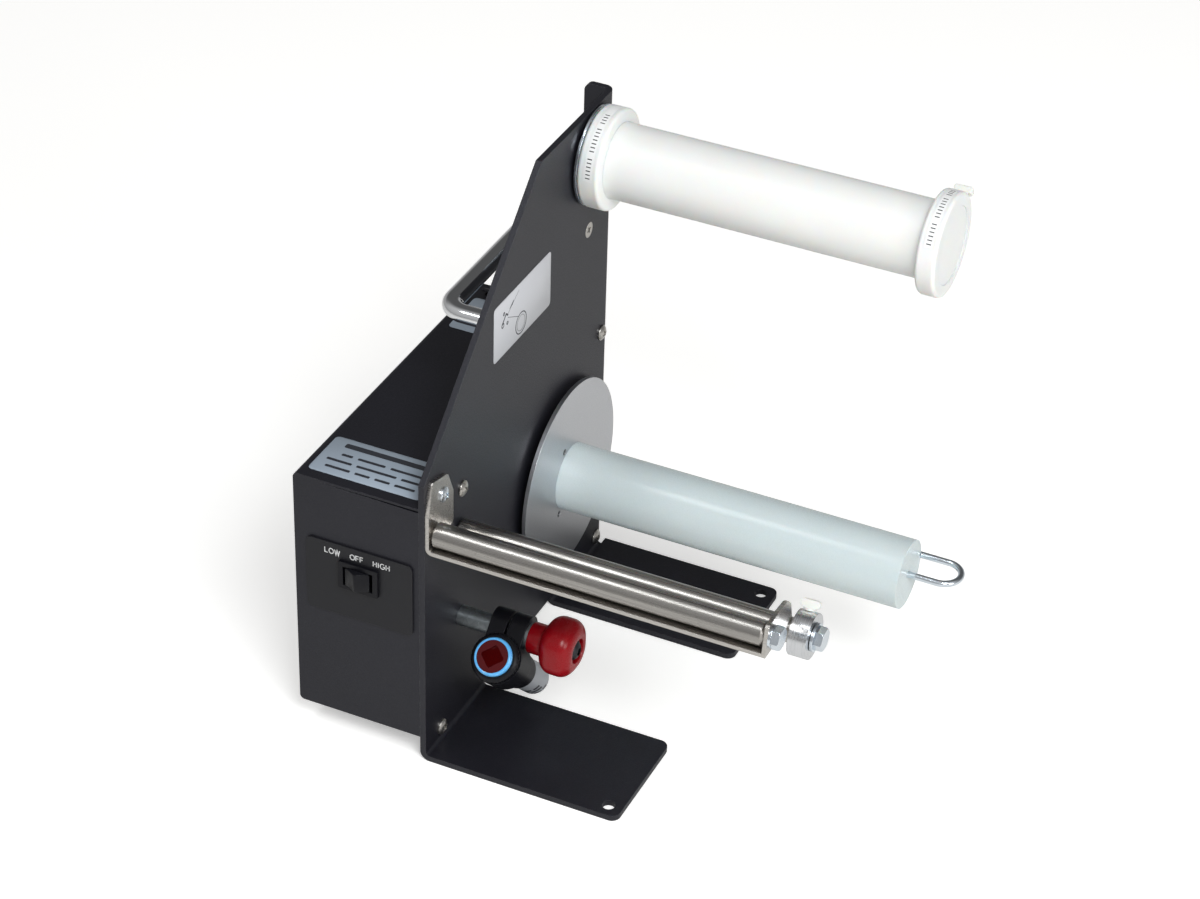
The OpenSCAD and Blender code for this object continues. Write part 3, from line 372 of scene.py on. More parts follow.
class Tree:
    """Short calls for laying out shader nodes."""

    def __init__(self, tree: bpy.types.NodeTree) -> None:
        """Work on one node tree."""
        self.tree = tree

    def node(self, kind: str, **settings: object) -> Node:
        """Add a node and set its properties."""
        made = self.tree.nodes.new(kind)
        for key, value in settings.items():
            setattr(made, key, value)
        return made

    def link(self, source: Socket, target: Socket) -> None:
        """Join two sockets."""
        self.tree.links.new(source, target)

    def feed(self, target: Socket, value: object) -> None:
        """Link a socket, or set a constant, on a target socket."""
        if isinstance(value, Socket):
            self.link(value, target)
        else:
            target.default_value = value

    def maths(self, operation: str, *values: object) -> Socket:
        """Add a Math node for an operation on sockets or numbers, and return its output."""
        made = self.node("ShaderNodeMath", operation=operation)
        for socket, value in zip(made.inputs, values):
            self.feed(socket, value)
        return made.outputs[0]

    def noise(self, place: object, scale: float, detail: float = 2.0, rough: float = 0.5) -> Socket:
        """Add a noise texture and return its value."""
        made = self.node("ShaderNodeTexNoise")
        self.feed(made.inputs["Vector"], place)
        preset(made, Scale=scale, Detail=detail, Roughness=rough)
        return made.outputs[0]

    def ramp(
        self, value: object, low: float, high: float, to_low: float = 0.0, to_high: float = 1.0
    ) -> Socket:
        """Carry a value from one range to another, clamped, with soft ends."""
        made = self.node("ShaderNodeMapRange", interpolation_type="SMOOTHSTEP", clamp=True)
        for socket, number in zip(made.inputs, (value, low, high, to_low, to_high)):
            self.feed(socket, number)
        return made.outputs[0]

    def mix(self, share: object, first: object, second: object) -> Socket:
        """Mix two colours, each a socket or a plain colour."""
        made = self.node("ShaderNodeMix", data_type="RGBA")
        self.feed(made.inputs["Factor"], share)
        for socket, value in zip((made.inputs[6], made.inputs[7]), (first, second)):
            self.feed(socket, value if isinstance(value, Socket) else (*value, 1.0))
        return made.outputs[2]


def group(name: str, inputs: dict[str, str], outputs: dict[str, str]) -> tuple[Tree, Node, Node] | None:
    """Start a shader node group.

    Args:
        name: the group's name.
        inputs: name and socket type of each input.
        outputs: name and socket type of each output.

    Returns:
        Its tree with the input and output nodes, or None if the group is there already.
    """
    if name in bpy.data.node_groups:
        return None
    made = bpy.data.node_groups.new(name, "ShaderNodeTree")
    for direction, sockets in (("INPUT", inputs), ("OUTPUT", outputs)):
        for label, kind in sockets.items():
            made.interface.new_socket(label, in_out=direction, socket_type=kind)
    tree = Tree(made)
    return tree, tree.node("NodeGroupInput"), tree.node("NodeGroupOutput")


VECTOR, FLOAT = "NodeSocketVector", "NodeSocketFloat"


def grain_group() -> str:
    """Fine pebbled grain of a sprayed or moulded surface, with sparse glints and slow unevenness."""
    name = "surface_grain"
    outputs = dict.fromkeys(("Height", "Glint", "Cloud"), FLOAT)
    made = group(name, {"Place": VECTOR, "Pitch": FLOAT}, outputs)
    if made:
        tree, start, end = made
        place, pitch = start.outputs["Place"], start.outputs["Pitch"]
        fine = tree.node("ShaderNodeTexNoise")
        tree.link(place, fine.inputs["Vector"])
        tree.link(tree.maths("DIVIDE", 1.0, pitch), fine.inputs["Scale"])
        fine.inputs["Detail"].default_value = 1.5
        cell = tree.node("ShaderNodeTexVoronoi", feature="F1")
        tree.link(place, cell.inputs["Vector"])
        tree.link(tree.maths("DIVIDE", 0.55, pitch), cell.inputs["Scale"])
        near = tree.ramp(cell.outputs["Distance"], 0.16, 0.30, 1.0, 0.0)
        pick = tree.ramp(tree.noise(place, 430.0, 0.0), 0.62, 0.70)
        tree.link(fine.outputs[0], end.inputs["Height"])
        tree.link(tree.maths("MULTIPLY", near, pick), end.inputs["Glint"])
        tree.link(tree.ramp(tree.noise(place, 14.0, 3.0, 0.6), 0.3, 0.7), end.inputs["Cloud"])
    return name


def streak_group() -> str:
    """Drawn or brushed lines: noise stretched along one axis, coarse and fine, with short dark scuffs."""
    name = "drawn_lines"
    outputs = dict.fromkeys(("Lines", "Height", "Scuff"), FLOAT)
    made = group(name, {"Place": VECTOR, "Stretch": VECTOR, "Pitch": FLOAT}, outputs)
    if made:
        tree, start, end = made
        pulled = tree.node("ShaderNodeVectorMath", operation="MULTIPLY")
        tree.link(start.outputs["Place"], pulled.inputs[0])
        tree.link(start.outputs["Stretch"], pulled.inputs[1])
        levels = []
        for share in (1.0, 3.3):
            lines = tree.node("ShaderNodeTexNoise")
            tree.link(pulled.outputs[0], lines.inputs["Vector"])
            tree.link(tree.maths("DIVIDE", share, start.outputs["Pitch"]), lines.inputs["Scale"])
            lines.inputs["Detail"].default_value = 3.0
            levels.append(lines.outputs[0])
        parts = (tree.maths("MULTIPLY", level, part) for level, part in zip(levels, (0.6, 0.4)))
        both = tree.maths("ADD", *parts)
        tree.link(tree.ramp(both, 0.35, 0.65), end.inputs["Lines"])
        tree.link(levels[1], end.inputs["Height"])
        marks = tree.ramp(tree.noise(start.outputs["Place"], 170.0, 4.0, 0.65), 0.60, 0.74)
        spread = tree.ramp(tree.noise(start.outputs["Place"], 22.0, 1.0), 0.50, 0.62)
        tree.link(tree.maths("MULTIPLY", marks, spread), end.inputs["Scuff"])
    return name


def edge_group() -> str:
    """Mask of outer edges: how far a rounded normal leans off the face's own, broken by noise."""
    name = "edge_wear_and_highlight"
    made = group(name, {"Place": VECTOR, "Normal": VECTOR}, {"Mask": FLOAT})
    if made:
        tree, start, end = made
        own = tree.node("ShaderNodeNewGeometry")
        dot = tree.node("ShaderNodeVectorMath", operation="DOT_PRODUCT")
        tree.link(start.outputs["Normal"], dot.inputs[0])
        tree.link(own.outputs["Normal"], dot.inputs[1])
        lean = tree.ramp(dot.outputs["Value"], 0.995, 0.90)
        broken = tree.ramp(tree.noise(start.outputs["Place"], 520.0, 4.0, 0.7), 0.42, 0.60)
        tree.link(tree.maths("MULTIPLY", lean, broken), end.inputs["Mask"])
    return name


@dataclass(frozen=True)
class Finish:
    """Base of every finish: a name, a colour, and a Principled surface."""

    name: str
    colour: Colour
    roughness: float = 0.5
    metallic: float = 0.0
    edge_radius: float = 0.35
    specular: float = 0.5

    def material(self) -> bpy.types.Material:
        """Make the material once and return it. Its own name keeps it apart from the CAD's plain one."""
        label = f"finish_{self.name}"
        if label in bpy.data.materials:
            return bpy.data.materials[label]
        made = bpy.data.materials.new(label)
        made.use_nodes = True
        made.diffuse_color = (*self.colour, 1.0)
        tree = Tree(made.node_tree)
        shader = made.node_tree.nodes["Principled BSDF"]
        preset(shader, Base_Color=(*self.colour, 1.0), Roughness=self.roughness)
        preset(shader, Metallic=self.metallic, Specular_IOR_Level=self.specular)
        place = tree.node("ShaderNodeTexCoord").outputs["Object"]
        self.dress(tree, shader, place)
        return made

    def dress(self, tree: Tree, shader: Node, place: Socket) -> None:
        """Add this finish's own nodes. The base adds rounded edges only."""
        tree.link(self.rounded(tree), shader.inputs["Normal"])

    def rounded(self, tree: Tree) -> Socket:
        """Normal that rolls over sharp edges."""
        bevel = tree.node("ShaderNodeBevel", samples=4)
        bevel.inputs["Radius"].default_value = self.edge_radius * MM
        return bevel.outputs[0]

    def bump(self, tree: Tree, shader: Node, height: Socket, depth: float) -> Socket:
        """Press a height into the surface.

        Args:
            tree: the material's tree.
            shader: its Principled node.
            height: pattern from 0 to 1.
            depth: depth of the pattern in millimetres.

        Returns:
            The normal without the pattern, for masks of edges.
        """
        smooth = self.rounded(tree)
        made = tree.node("ShaderNodeBump")
        preset(made, Strength=1.0, Distance=depth * MM)
        tree.link(height, made.inputs["Height"])
        tree.link(smooth, made.inputs["Normal"])
        tree.link(made.outputs[0], shader.inputs["Normal"])
        return smooth

    def use(self, tree: Tree, name: str, **values: object) -> Node:
        """Place a node group and set its inputs."""
        made = tree.node("ShaderNodeGroup", node_tree=bpy.data.node_groups[name])
        for key, value in values.items():
            tree.feed(made.inputs[key], value)
        return made


@dataclass(frozen=True)
class SprayedCoat(Finish):
    """Fine-texture powder coat: pebbled grain, sparse glints, and paler edges that are wear plus a
    painted edge highlight.
    """

    # Paler edge colour: wear together with a painted highlight where edges catch light.
    wear_and_highlight_colour: Colour = (0.10, 0.10, 0.105)
    wear_and_highlight_share: float = 0.55
    sparkle: Colour = (0.20, 0.20, 0.21)
    glints: float = 0.05
    cloud: float = 1.22
    tint: Colour = (0.93, 0.94, 1.0)
    pitch: float = 0.55
    depth: float = 0.05

    def dress(self, tree: Tree, shader: Node, place: Socket) -> None:
        """Grain in the normal, unevenness in the colour, wear and a painted highlight on the edges."""
        shader.inputs["Specular Tint"].default_value = (*self.tint, 1.0)
        grain = self.use(tree, grain_group(), Place=place, Pitch=self.pitch * MM)
        smooth = self.bump(tree, shader, grain.outputs["Height"], self.depth)
        edge = self.use(tree, edge_group(), Place=place, Normal=smooth)
        tone = tuple(c * self.cloud for c in self.colour)
        base = tree.mix(grain.outputs["Cloud"], self.colour, tone)
        glint = tree.mix(tree.maths("MULTIPLY", grain.outputs["Glint"], self.glints), base, self.sparkle)
        # Paler edges in the base colour: wear plus a painted highlight, on every edge alike.
        edged = tree.mix(tree.maths("MULTIPLY", edge.outputs["Mask"], self.wear_and_highlight_share), glint, self.wear_and_highlight_colour)
        tree.link(edged, shader.inputs["Base Color"])
        rough = tree.ramp(grain.outputs["Height"], 0.3, 0.7, self.roughness - 0.06, self.roughness + 0.08)
        tree.link(rough, shader.inputs["Roughness"])


@dataclass(frozen=True)
class DrawnMetal(Finish):
    """Drawn, brushed or turned metal: streaks along one axis and small dark scuffs."""

    along: Axis = Axis.X
    pitch: float = 0.6
    depth: float = 0.004
    contrast: float = 0.16
    scuffs: float = 0.5
    reach: float = 0.02
    ringed: bool = False
    grime: Colour = (0.16, 0.15, 0.14)
    metallic: float = 1.0

    def dress(self, tree: Tree, shader: Node, place: Socket) -> None:
        """Streaks in colour, roughness and normal; scuffs darken and dull."""
        stretch = [self.reach if self.ringed else 1.0] * 3
        stretch[self.along.value] = 1.0 if self.ringed else self.reach
        lines = self.use(tree, streak_group(), Place=place, Stretch=stretch, Pitch=self.pitch * MM)
        self.bump(tree, shader, lines.outputs["Height"], self.depth)
        dark = tuple(c * (1 - self.contrast) for c in self.colour)
        base = tree.mix(lines.outputs["Lines"], dark, self.colour)
        scuff = lines.outputs["Scuff"]
        marked = tree.mix(tree.maths("MULTIPLY", scuff, self.scuffs), base, self.grime)
        tree.link(marked, shader.inputs["Base Color"])
        rough = tree.ramp(lines.outputs["Lines"], 0.0, 1.0, self.roughness + 0.07, self.roughness - 0.04)
        dulled = tree.maths("ADD", rough, tree.maths("MULTIPLY", scuff, 0.2))
        tree.link(dulled, shader.inputs["Roughness"])


@dataclass(frozen=True)
class SpangledZinc(Finish):
    """Galvanised or zinc-plated steel: flat crystals of slightly different grey."""

    pitch: float = 3.0
    contrast: float = 0.35
    metallic: float = 1.0

    def dress(self, tree: Tree, shader: Node, place: Socket) -> None:
        """Crystals from a cell pattern, each with its own tone and gloss."""
        cells = tree.node("ShaderNodeTexVoronoi", feature="F1")
        tree.link(place, cells.inputs["Vector"])
        cells.inputs["Scale"].default_value = 1 / (self.pitch * MM)
        tone = tree.node("ShaderNodeSeparateColor")
        tree.link(cells.outputs["Color"], tone.inputs[0])
        cloud = tree.noise(place, 260.0, 4.0, 0.7)
        parts = (tree.maths("MULTIPLY", value, 0.6) for value in (tone.outputs[0], cloud))
        share = tree.ramp(tree.maths("ADD", *parts), 0.25, 0.85)
        dark = tuple(c * (1 - self.contrast) for c in self.colour)
        tree.link(tree.mix(share, dark, self.colour), shader.inputs["Base Color"])
        rough = tree.ramp(share, 0.0, 1.0, self.roughness + 0.1, self.roughness - 0.05)
        tree.link(rough, shader.inputs["Roughness"])
        self.bump(tree, shader, cloud, 0.01)


@dataclass(frozen=True)
class Plate(Finish):
    """Smooth plated or polished metal with a trace of haze."""

    metallic: float = 1.0

    def dress(self, tree: Tree, shader: Node, place: Socket) -> None:
        """Slow unevenness in gloss, as rubbing leaves it."""
        haze = tree.noise(place, 60.0, 4.0, 0.6)
        rough = tree.ramp(haze, 0.35, 0.75, self.roughness, self.roughness + 0.09)
        tree.link(rough, shader.inputs["Roughness"])
        self.bump(tree, shader, tree.noise(place, 900.0, 2.0), 0.001)


@dataclass(frozen=True)
class MouldedPlastic(Finish):
    """Moulded or turned plastic: faint grain, cloudy tone, optional light passing through."""

    shade: Colour = (0.5, 0.5, 0.5)
    grain: float = 0.25
    depth: float = 0.006
    through: float = 0.0
    reach: Colour = (1.0, 0.6, 0.4)
    scatter: float = 4.0
    coat: float = 0.0
    coat_roughness: float = 0.12

    def dress(self, tree: Tree, shader: Node, place: Socket) -> None:
        """Cloud in the colour, grain in the normal, scattering set on the shader."""
        grain = self.use(tree, grain_group(), Place=place, Pitch=self.grain * MM)
        tree.link(tree.mix(grain.outputs["Cloud"], self.colour, self.shade), shader.inputs["Base Color"])
        rough = tree.ramp(grain.outputs["Height"], 0.3, 0.7, self.roughness - 0.04, self.roughness + 0.05)
        tree.link(rough, shader.inputs["Roughness"])
        self.bump(tree, shader, grain.outputs["Height"], self.depth)
        preset(shader, Subsurface_Weight=self.through, Subsurface_Radius=self.reach)
        preset(shader, Subsurface_Scale=self.scatter * MM)
        preset(shader, Coat_Weight=self.coat, Coat_Roughness=self.coat_roughness)


BLACK_COAT = SprayedCoat("black_powder_coat", (0.0080, 0.0078, 0.0115), 0.46, specular=0.46)
HOUSING_COAT = SprayedCoat("housing_powder_coat", (0.0090, 0.0088, 0.0125), 0.47, specular=0.37)
STAINLESS_ROD = DrawnMetal(
    "stainless_rod", (0.41, 0.392, 0.37), 0.29, pitch=0.5, contrast=0.22, depth=0.002, reach=0.01
)
STAINLESS_SHEET = DrawnMetal(
    "stainless_sheet", (0.58, 0.555, 0.525), 0.27, pitch=0.35, contrast=0.2, depth=0.0015, reach=0.006
)
SHAFT_STEEL = DrawnMetal("ground_steel", (0.62, 0.63, 0.65), 0.22, contrast=0.08, scuffs=0.2)
TURNED_ALUMINIUM = DrawnMetal(
    "turned_aluminium", (0.66, 0.67, 0.69), 0.22, ringed=True, contrast=0.05, scuffs=0.1, depth=0.0004
)
DISC_ALUMINIUM = DrawnMetal(
    "disc_aluminium", (0.60, 0.61, 0.635), 0.36, reach=1.0, contrast=0.05, scuffs=0.1, depth=0.0006
)
SCREW_STEEL = Plate("screw_steel", (0.50, 0.48, 0.45), 0.24)
BRIGHT_ZINC = Plate("bright_zinc", (0.72, 0.78, 0.84), 0.17)
CHROME = Plate("chrome_bar", (0.82, 0.83, 0.85), 0.05)
GALVANISED = SpangledZinc("galvanised_post", (0.42, 0.46, 0.48), 0.38)
BLACK_OXIDE = Plate("black_oxide", (0.05, 0.05, 0.055), 0.38)
WHITE_NYLON = MouldedPlastic(
    "white_nylon", (0.865, 0.868, 0.85), 0.40, through=0.45, shade=(0.845, 0.845, 0.82)
)
NATURAL_NYLON = MouldedPlastic(
    "natural_nylon", (0.84, 0.84, 0.80), 0.40, through=0.4, shade=(0.78, 0.78, 0.73)
)
CORE_PLASTIC = MouldedPlastic(
    "core_plastic", (0.60, 0.68, 0.69), 0.27, through=0.2, shade=(0.635, 0.71, 0.715)
)
RED_PLASTIC = MouldedPlastic(
    "red_plastic", (0.27, 0.0013, 0.0055), 0.27, shade=(0.23, 0.0010, 0.0045), specular=0.30
)
BLUE_RING = MouldedPlastic(
    "blue_ring", (0.09, 0.42, 0.86), 0.25, through=0.3, shade=(0.12, 0.46, 0.90), coat=0.4
)
RED_LENS = MouldedPlastic(
    "red_lens", (0.062, 0.0020, 0.0036), 0.20, shade=(0.075, 0.0024, 0.0042), specular=0.25
)
BLACK_PLASTIC = MouldedPlastic(
    "black_plastic", (0.0040, 0.0040, 0.0060), 0.34, shade=(0.0050, 0.0050, 0.0072), specular=0.20
)
PANEL_FILM = MouldedPlastic(
    "panel_film", (0.0080, 0.0080, 0.0105), 0.45, shade=(0.0090, 0.0090, 0.0115), specular=0.30
)
RUBBER = MouldedPlastic("foot_rubber", (0.015, 0.015, 0.015), 0.75, shade=(0.02, 0.02, 0.02))
GREY_SLEEVE = MouldedPlastic("grey_sleeve", (0.40, 0.42, 0.45), 0.36, shade=(0.36, 0.38, 0.41))
GEAR_CASE = SpangledZinc("gear_case", (0.50, 0.51, 0.53), 0.46, contrast=0.12)
MOTOR_CAN = DrawnMetal("motor_can", (0.34, 0.35, 0.37), 0.32, along=Axis.Y, scuffs=0.2)
BRONZE = Plate("sintered_bronze", (0.52, 0.33, 0.14), 0.40)
BOARD_GREEN = MouldedPlastic("board_green", (0.02, 0.16, 0.06), 0.35, shade=(0.03, 0.20, 0.08))
LABEL_SILVER = MouldedPlastic("label_silver", (0.33, 0.39, 0.46), 0.38, shade=(0.35, 0.41, 0.48))
PATH_SILVER = MouldedPlastic("path_label_silver", (0.52, 0.525, 0.55), 0.40, shade=(0.55, 0.555, 0.58))
TAPE_WHITE = MouldedPlastic("tape_white", (0.90, 0.90, 0.89), 0.50, shade=(0.87, 0.87, 0.86))
PRINT_DARK = MouldedPlastic("print_dark", (0.025, 0.027, 0.035), 0.45, shade=(0.03, 0.032, 0.04))
LENS_WINDOW = MouldedPlastic(
    "lens_window", (0.028, 0.0001, 0.0003), 0.16, shade=(0.05, 0.0002, 0.0004), specular=0.03
)
PRINT_WHITE = MouldedPlastic("print_white", (0.72, 0.72, 0.72), 0.50, shade=(0.66, 0.66, 0.66))

FINISHED: tuple[tuple[Finish, str], ...] = (
    (BLACK_COAT, "side_plate"),
    (HOUSING_COAT, "housing_cover"),
    (RUBBER, "housing_feet"),
    (CHROME, "carry_handle"),
    (SCREW_STEEL, "plate_screws handle_screws gearbox_screws rod_screws"),
    (PANEL_FILM, "switch_panel"),
    (BLACK_PLASTIC, "switch_body switch_rocker power_jack sensor_clamp sensor_barrel sensor_nut"),
    (GEAR_CASE, "drive_gearbox"),
    (MOTOR_CAN, "drive_motor"),
    (BRONZE, "shaft_bearing"),
    (SHAFT_STEEL, "drive_shaft supply_axle"),
    (BOARD_GREEN, "circuit_board"),
    (NATURAL_NYLON, "board_spacers inner_flange_screw outer_flange_screw collar_screw"),
    (TURNED_ALUMINIUM, "takeup_hub guide_collar"),
    (DISC_ALUMINIUM, "takeup_disc"),
    (BLACK_OXIDE, "disc_screws knob_screw"),
    (CORE_PLASTIC, "takeup_core"),
    (BRIGHT_ZINC, "takeup_clip axle_nut supply_washer bracket_screw rod_washers rod_bolts"),
    (WHITE_NYLON, "supply_tube inner_flange outer_flange"),
    (STAINLESS_SHEET, "strip_bracket"),
    (STAINLESS_ROD, "front_rod rear_rod"),
    (GALVANISED, "sensor_post knob_washer"),
    (BLUE_RING, "sensor_ring"),
    (RED_LENS, "sensor_lens"),
    (GREY_SLEEVE, "sensor_tail"),
    (RED_PLASTIC, "clamp_knob"),
)


@dataclass(frozen=True)
class Lamp:
    """Soft square lamp, with its place and size in metres and its power in watts."""

    name: str
    place: Place
    size: float
    power: float
    tint: Colour = (1.0, 1.0, 1.0)

    def hang(self, target: Place) -> None:
        """Hang the lamp so that it faces a target."""
        data = bpy.data.lights.new(self.name, "AREA")
        data.size = self.size
        data.energy = self.power
        data.color = self.tint
        lamp = added(self.name, data)
        place = Vector(self.place)
        aim = (Vector(target) - place).to_track_quat("-Z", "Y")
        lamp.matrix_world = Matrix.Translation(place) @ aim.to_matrix().to_4x4()


@dataclass
class Studio:
    """Camera at the photograph's angle, pale floor and soft light."""

    azimuth: float = 24.195
    elevation: float = 34.794
    roll: float = 1.737
    lens: float = 99.09
    sensor: float = 36.0
    eye: Place = (476.24, -1174.53, 1028.25)
    view_range: Pair = (0.05, 30.0)
    floor_size: float = 12.0
    floor_drop: float = 0.0002
    floor_tone: Colour = (0.93, 0.915, 0.89)
    floor_lift: float = 0.40
    world_level: float = 0.50
    back_share: float = 0.2
    target: Place = (0.0, 0.0, 0.12)
    lamps: tuple[Lamp, ...] = (
        Lamp("key", (0.85, -1.05, 1.5), 0.65, 20.0, (0.95, 0.98, 1.0)),
        Lamp("top", (-0.65, -0.60, 1.75), 0.39, 4.5, (0.95, 0.98, 1.0)),
        Lamp("fill", (1.6, -0.7, 0.8), 0.65, 9.0),
    )

    def camera(self) -> None:
        """Stand the camera where the photograph was taken from."""
        a, e, r = (math.radians(v) for v in (self.azimuth, self.elevation, self.roll))
        back = Vector((math.sin(a) * math.cos(e), -math.cos(a) * math.cos(e), math.sin(e)))
        level = Vector((math.cos(a), math.sin(a), 0.0))
        upright = back.cross(level)
        right = level * math.cos(r) + upright * math.sin(r)
        up = upright * math.cos(r) - level * math.sin(r)
        data = bpy.data.cameras.new("photo_camera")
        data.lens = self.lens
        data.sensor_width = self.sensor
        data.sensor_fit = "HORIZONTAL"
        data.clip_start, data.clip_end = self.view_range
        camera = added("photo_camera", data)
        turn = Matrix((right, up, back)).transposed().to_4x4()
        camera.matrix_world = Matrix.Translation(Vector(self.eye) * MM) @ turn
        bpy.context.scene.camera = camera

    def world(self) -> None:
        """White to the camera; to everything else bright in front and low down, and dim high behind."""
        world = bpy.data.worlds.new("studio")
        world.use_nodes = True
        bpy.context.scene.world = world
        tree = Tree(world.node_tree)
        background = world.node_tree.nodes["Background"]
        direction = tree.node("ShaderNodeSeparateXYZ")
        tree.link(tree.node("ShaderNodeTexCoord").outputs["Generated"], direction.inputs[0])
        behind = tree.ramp(direction.outputs["Y"], -0.15, 0.65, 0.0, 1.0 - self.back_share)
        raised = tree.ramp(direction.outputs["Z"], 0.12, 0.42)
        dim = tree.maths("SUBTRACT", 1.0, tree.maths("MULTIPLY", behind, raised))
        graded = tree.maths("MULTIPLY", tree.ramp(direction.outputs["Z"], -0.4, 0.8, 0.6, 1.0), dim)
        path = tree.node("ShaderNodeLightPath")
        seen = tree.maths("MAXIMUM", path.outputs["Is Camera Ray"], path.outputs["Is Transmission Ray"])
        lit = tree.maths("MULTIPLY", graded, self.world_level)
        rest = tree.maths("MULTIPLY", seen, tree.maths("SUBTRACT", 1.0, lit))
        tree.link(tree.maths("ADD", rest, lit), background.inputs["Strength"])
        background.inputs["Color"].default_value = (1.0, 1.0, 1.0, 1.0)

    def floor(self) -> None:
        """Lay a plain pale floor under the feet, lifted towards white for the camera only."""
        half = self.floor_size / 2
        mesh = bpy.data.meshes.new("floor")
        signs = ((-1, -1), (1, -1), (1, 1), (-1, 1))
        mesh.from_pydata([(x * half, y * half, -self.floor_drop) for x, y in signs], [], [(0, 1, 2, 3)])
        made = bpy.data.materials.new("pale_floor")
        made.use_nodes = True
        tree = Tree(made.node_tree)
        shader = made.node_tree.nodes["Principled BSDF"]
        preset(shader, Base_Color=(*self.floor_tone, 1.0), Roughness=0.9)
        preset(shader, Specular_IOR_Level=0.1, Emission_Color=(1.0, 1.0, 1.0, 1.0))
        seen = tree.node("ShaderNodeLightPath").outputs["Is Camera Ray"]
        tree.link(tree.maths("MULTIPLY", seen, self.floor_lift), shader.inputs["Emission Strength"])
        mesh.materials.append(made)
        floor = added("floor", mesh)

    def build(self) -> None:
        """Make all of it."""
        self.camera()
        self.floor()
        self.world()
        for lamp in self.lamps:
            lamp.hang(self.target)
        bpy.context.scene.view_settings.view_transform = "Standard"


PRINT = 0.04
FILM = 0.12
FILM_EDGE = 0.05
Row = tuple[float, float, float, float, tuple[int, ...]]


def fixed(piece: bpy.types.Object, body: str, slot: str, *nodes: str) -> None:
    """Let a piece ride on a body and hide the nodes it stands for."""
    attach(piece, body)
    if nodes:
        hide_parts(*nodes)
    LOG.info("built piece %s", piece.name)


def sticker(name: str, finish: Finish, size: Pair, corner: float, seat: Seat) -> Seat:
    """Lay a sticker on a face and return the seat on top of it."""
    skin = Skin().solid(slab(box_outline(*size, corner), FILM, FILM_EDGE, seat))
    fixed(skin.build(name, finish), "frame", "panel_film")
    return replace(seat, origin=seat.origin + FILM * seat.along)


def greeked(skin: Skin, ground: Seat, row: Row) -> None:
    """Set a row of plain bars where the real one is lettered.

    Args:
        skin: takes the bars.
        ground: the face they lie on.
        row: start, foot and height of the row, length for each letter, letters in each word.
    """
    x, base, height, pitch, words = row
    for word in words:
        length = word * pitch
        middle = (x + length / 2, base + height / 2)
        skin.solid(slab(box_outline(length, height, height / 3, middle), PRINT, 0.0, ground))
        x += length + pitch


@dataclass
class HousingLabels:
    """Two pale stickers on the housing's top, one bare and one with bars in place of lettering."""

    louvre: float = 3.4
    front_at: Pair = (-128.4, -78.7)
    front_size: Pair = (58.6, 29.0)
    rear_at: Pair = (-125.6, 59.0)
    rear_size: Pair = (60.0, 30.0)
    corner: float = 2.6
    rows: tuple[Row, ...] = (
        (-22.0, 7.6, 3.4, 4.6, (10,)),
        (-20.0, 1.2, 1.7, 2.85, (2, 5, 6)),
        (-25.0, -4.2, 1.7, 2.6, (5, 8, 4)),
        (-23.0, -9.6, 1.7, 2.6, (5, 3, 3, 4)),
    )

    def build(self) -> None:
        """Make both stickers and the front one's marks."""
        top = span("housing_cover").high[2] - self.louvre
        front, rear = (seat_on_z([*at, top]) for at in (self.front_at, self.rear_at))
        ground = sticker("front_sticker", LABEL_SILVER, self.front_size, self.corner, front)
        sticker("rear_sticker", LABEL_SILVER, self.rear_size, self.corner, rear)
        marks = Skin()
        for row in self.rows:
            greeked(marks, ground, row)
        fixed(marks.build("front_sticker_marks", PRINT_DARK), "frame", "panel_film")


ROLL = (-1.6, -7.4)
PATH_STROKES: tuple[tuple[Points | list, float], ...] = (
    (ring_outline(5.6, ROLL), 0.55),
    (ring_outline(4.1, ROLL), 0.2),
    (ring_outline(0.7, (-19.6, 7.4), 24), 0.6),
    (ring_outline(0.7, (-16.0, 0.6), 24), 0.6),
    (ring_outline(1.1, (-20.8, 1.6), 24), 0.6),
    ([[-21.6, 2.2], [-17.4, 6.2], [-15.4, 4.6]], 0.9),
    ([[-15.6, 3.4], [-4.4, -2.4]], 0.25),
    ([[-15.6, 5.4], [-4.0, 12.0]], 0.2),
)
PATH_ARROW = np.array([[-14.2, 7.0], [-9.4, 10.0], [-10.6, 7.8]])


@dataclass
class PathLabel:
    """Pale sticker on the plate with a plain drawing of how the web runs."""

    centre: Pair = (0.2, 200.9)
    size: Pair = (60.0, 30.0)
    corner: float = 2.4
    behind_tube: float = 2.9

    def build(self) -> None:
        """Make the sticker and its drawing."""
        face = span("supply_tube").low[0] - self.behind_tube
        seat = seat_on_x([face, *self.centre])
        ground = sticker("path_sticker", PATH_SILVER, self.size, self.corner, seat)
        marks = Skin()
        for path, width in PATH_STROKES:
            marks.bar(path, width, PRINT, ground)
        marks.solid(slab(PATH_ARROW, PRINT, 0.0, ground))
        fixed(marks.build("path_sticker_marks", PRINT_DARK), "frame", "panel_film")


@dataclass
class RimTape:
    """White tape round part of a spool flange, with rows of plain ticks."""

    node: str
    body: str
    start: float
    end: float
    words: tuple[int, ...] = (6, 7, 4)
    width: float = 4.4
    offset: float = 0.3
    film: float = 0.05
    tick: float = 1.9
    tick_width: float = 0.5
    reach: float = 1.15
    margin: float = 1.8

    def build(self) -> None:
        """Wrap the tape; its angles run from the front over the top."""
        box = span(self.node)
        radius = box.size[2] / 2
        drum = Drum(seat_on_x([box.centre[0] + self.offset, *box.centre[1:]]), radius)
        arc = radius * np.radians(180 - np.linspace(self.start, self.end, 60))
        skin = Skin().bar(np.column_stack([arc, 0 * arc]), self.width, self.film, drum)
        fixed(skin.build(f"{self.node}_tape", TAPE_WHITE), self.body, "panel_film")
        over = Drum(drum.seat, radius + self.film)
        marks = Skin()
        a = arc[0] - self.margin
        for word in self.words:
            for _ in range(word):
                marks.bar([[a, -self.reach], [a, self.reach]], self.tick_width, PRINT, over)
                a -= self.tick
            a -= self.tick
        fixed(marks.build(f"{self.node}_ticks", PRINT_DARK), self.body, "panel_film")


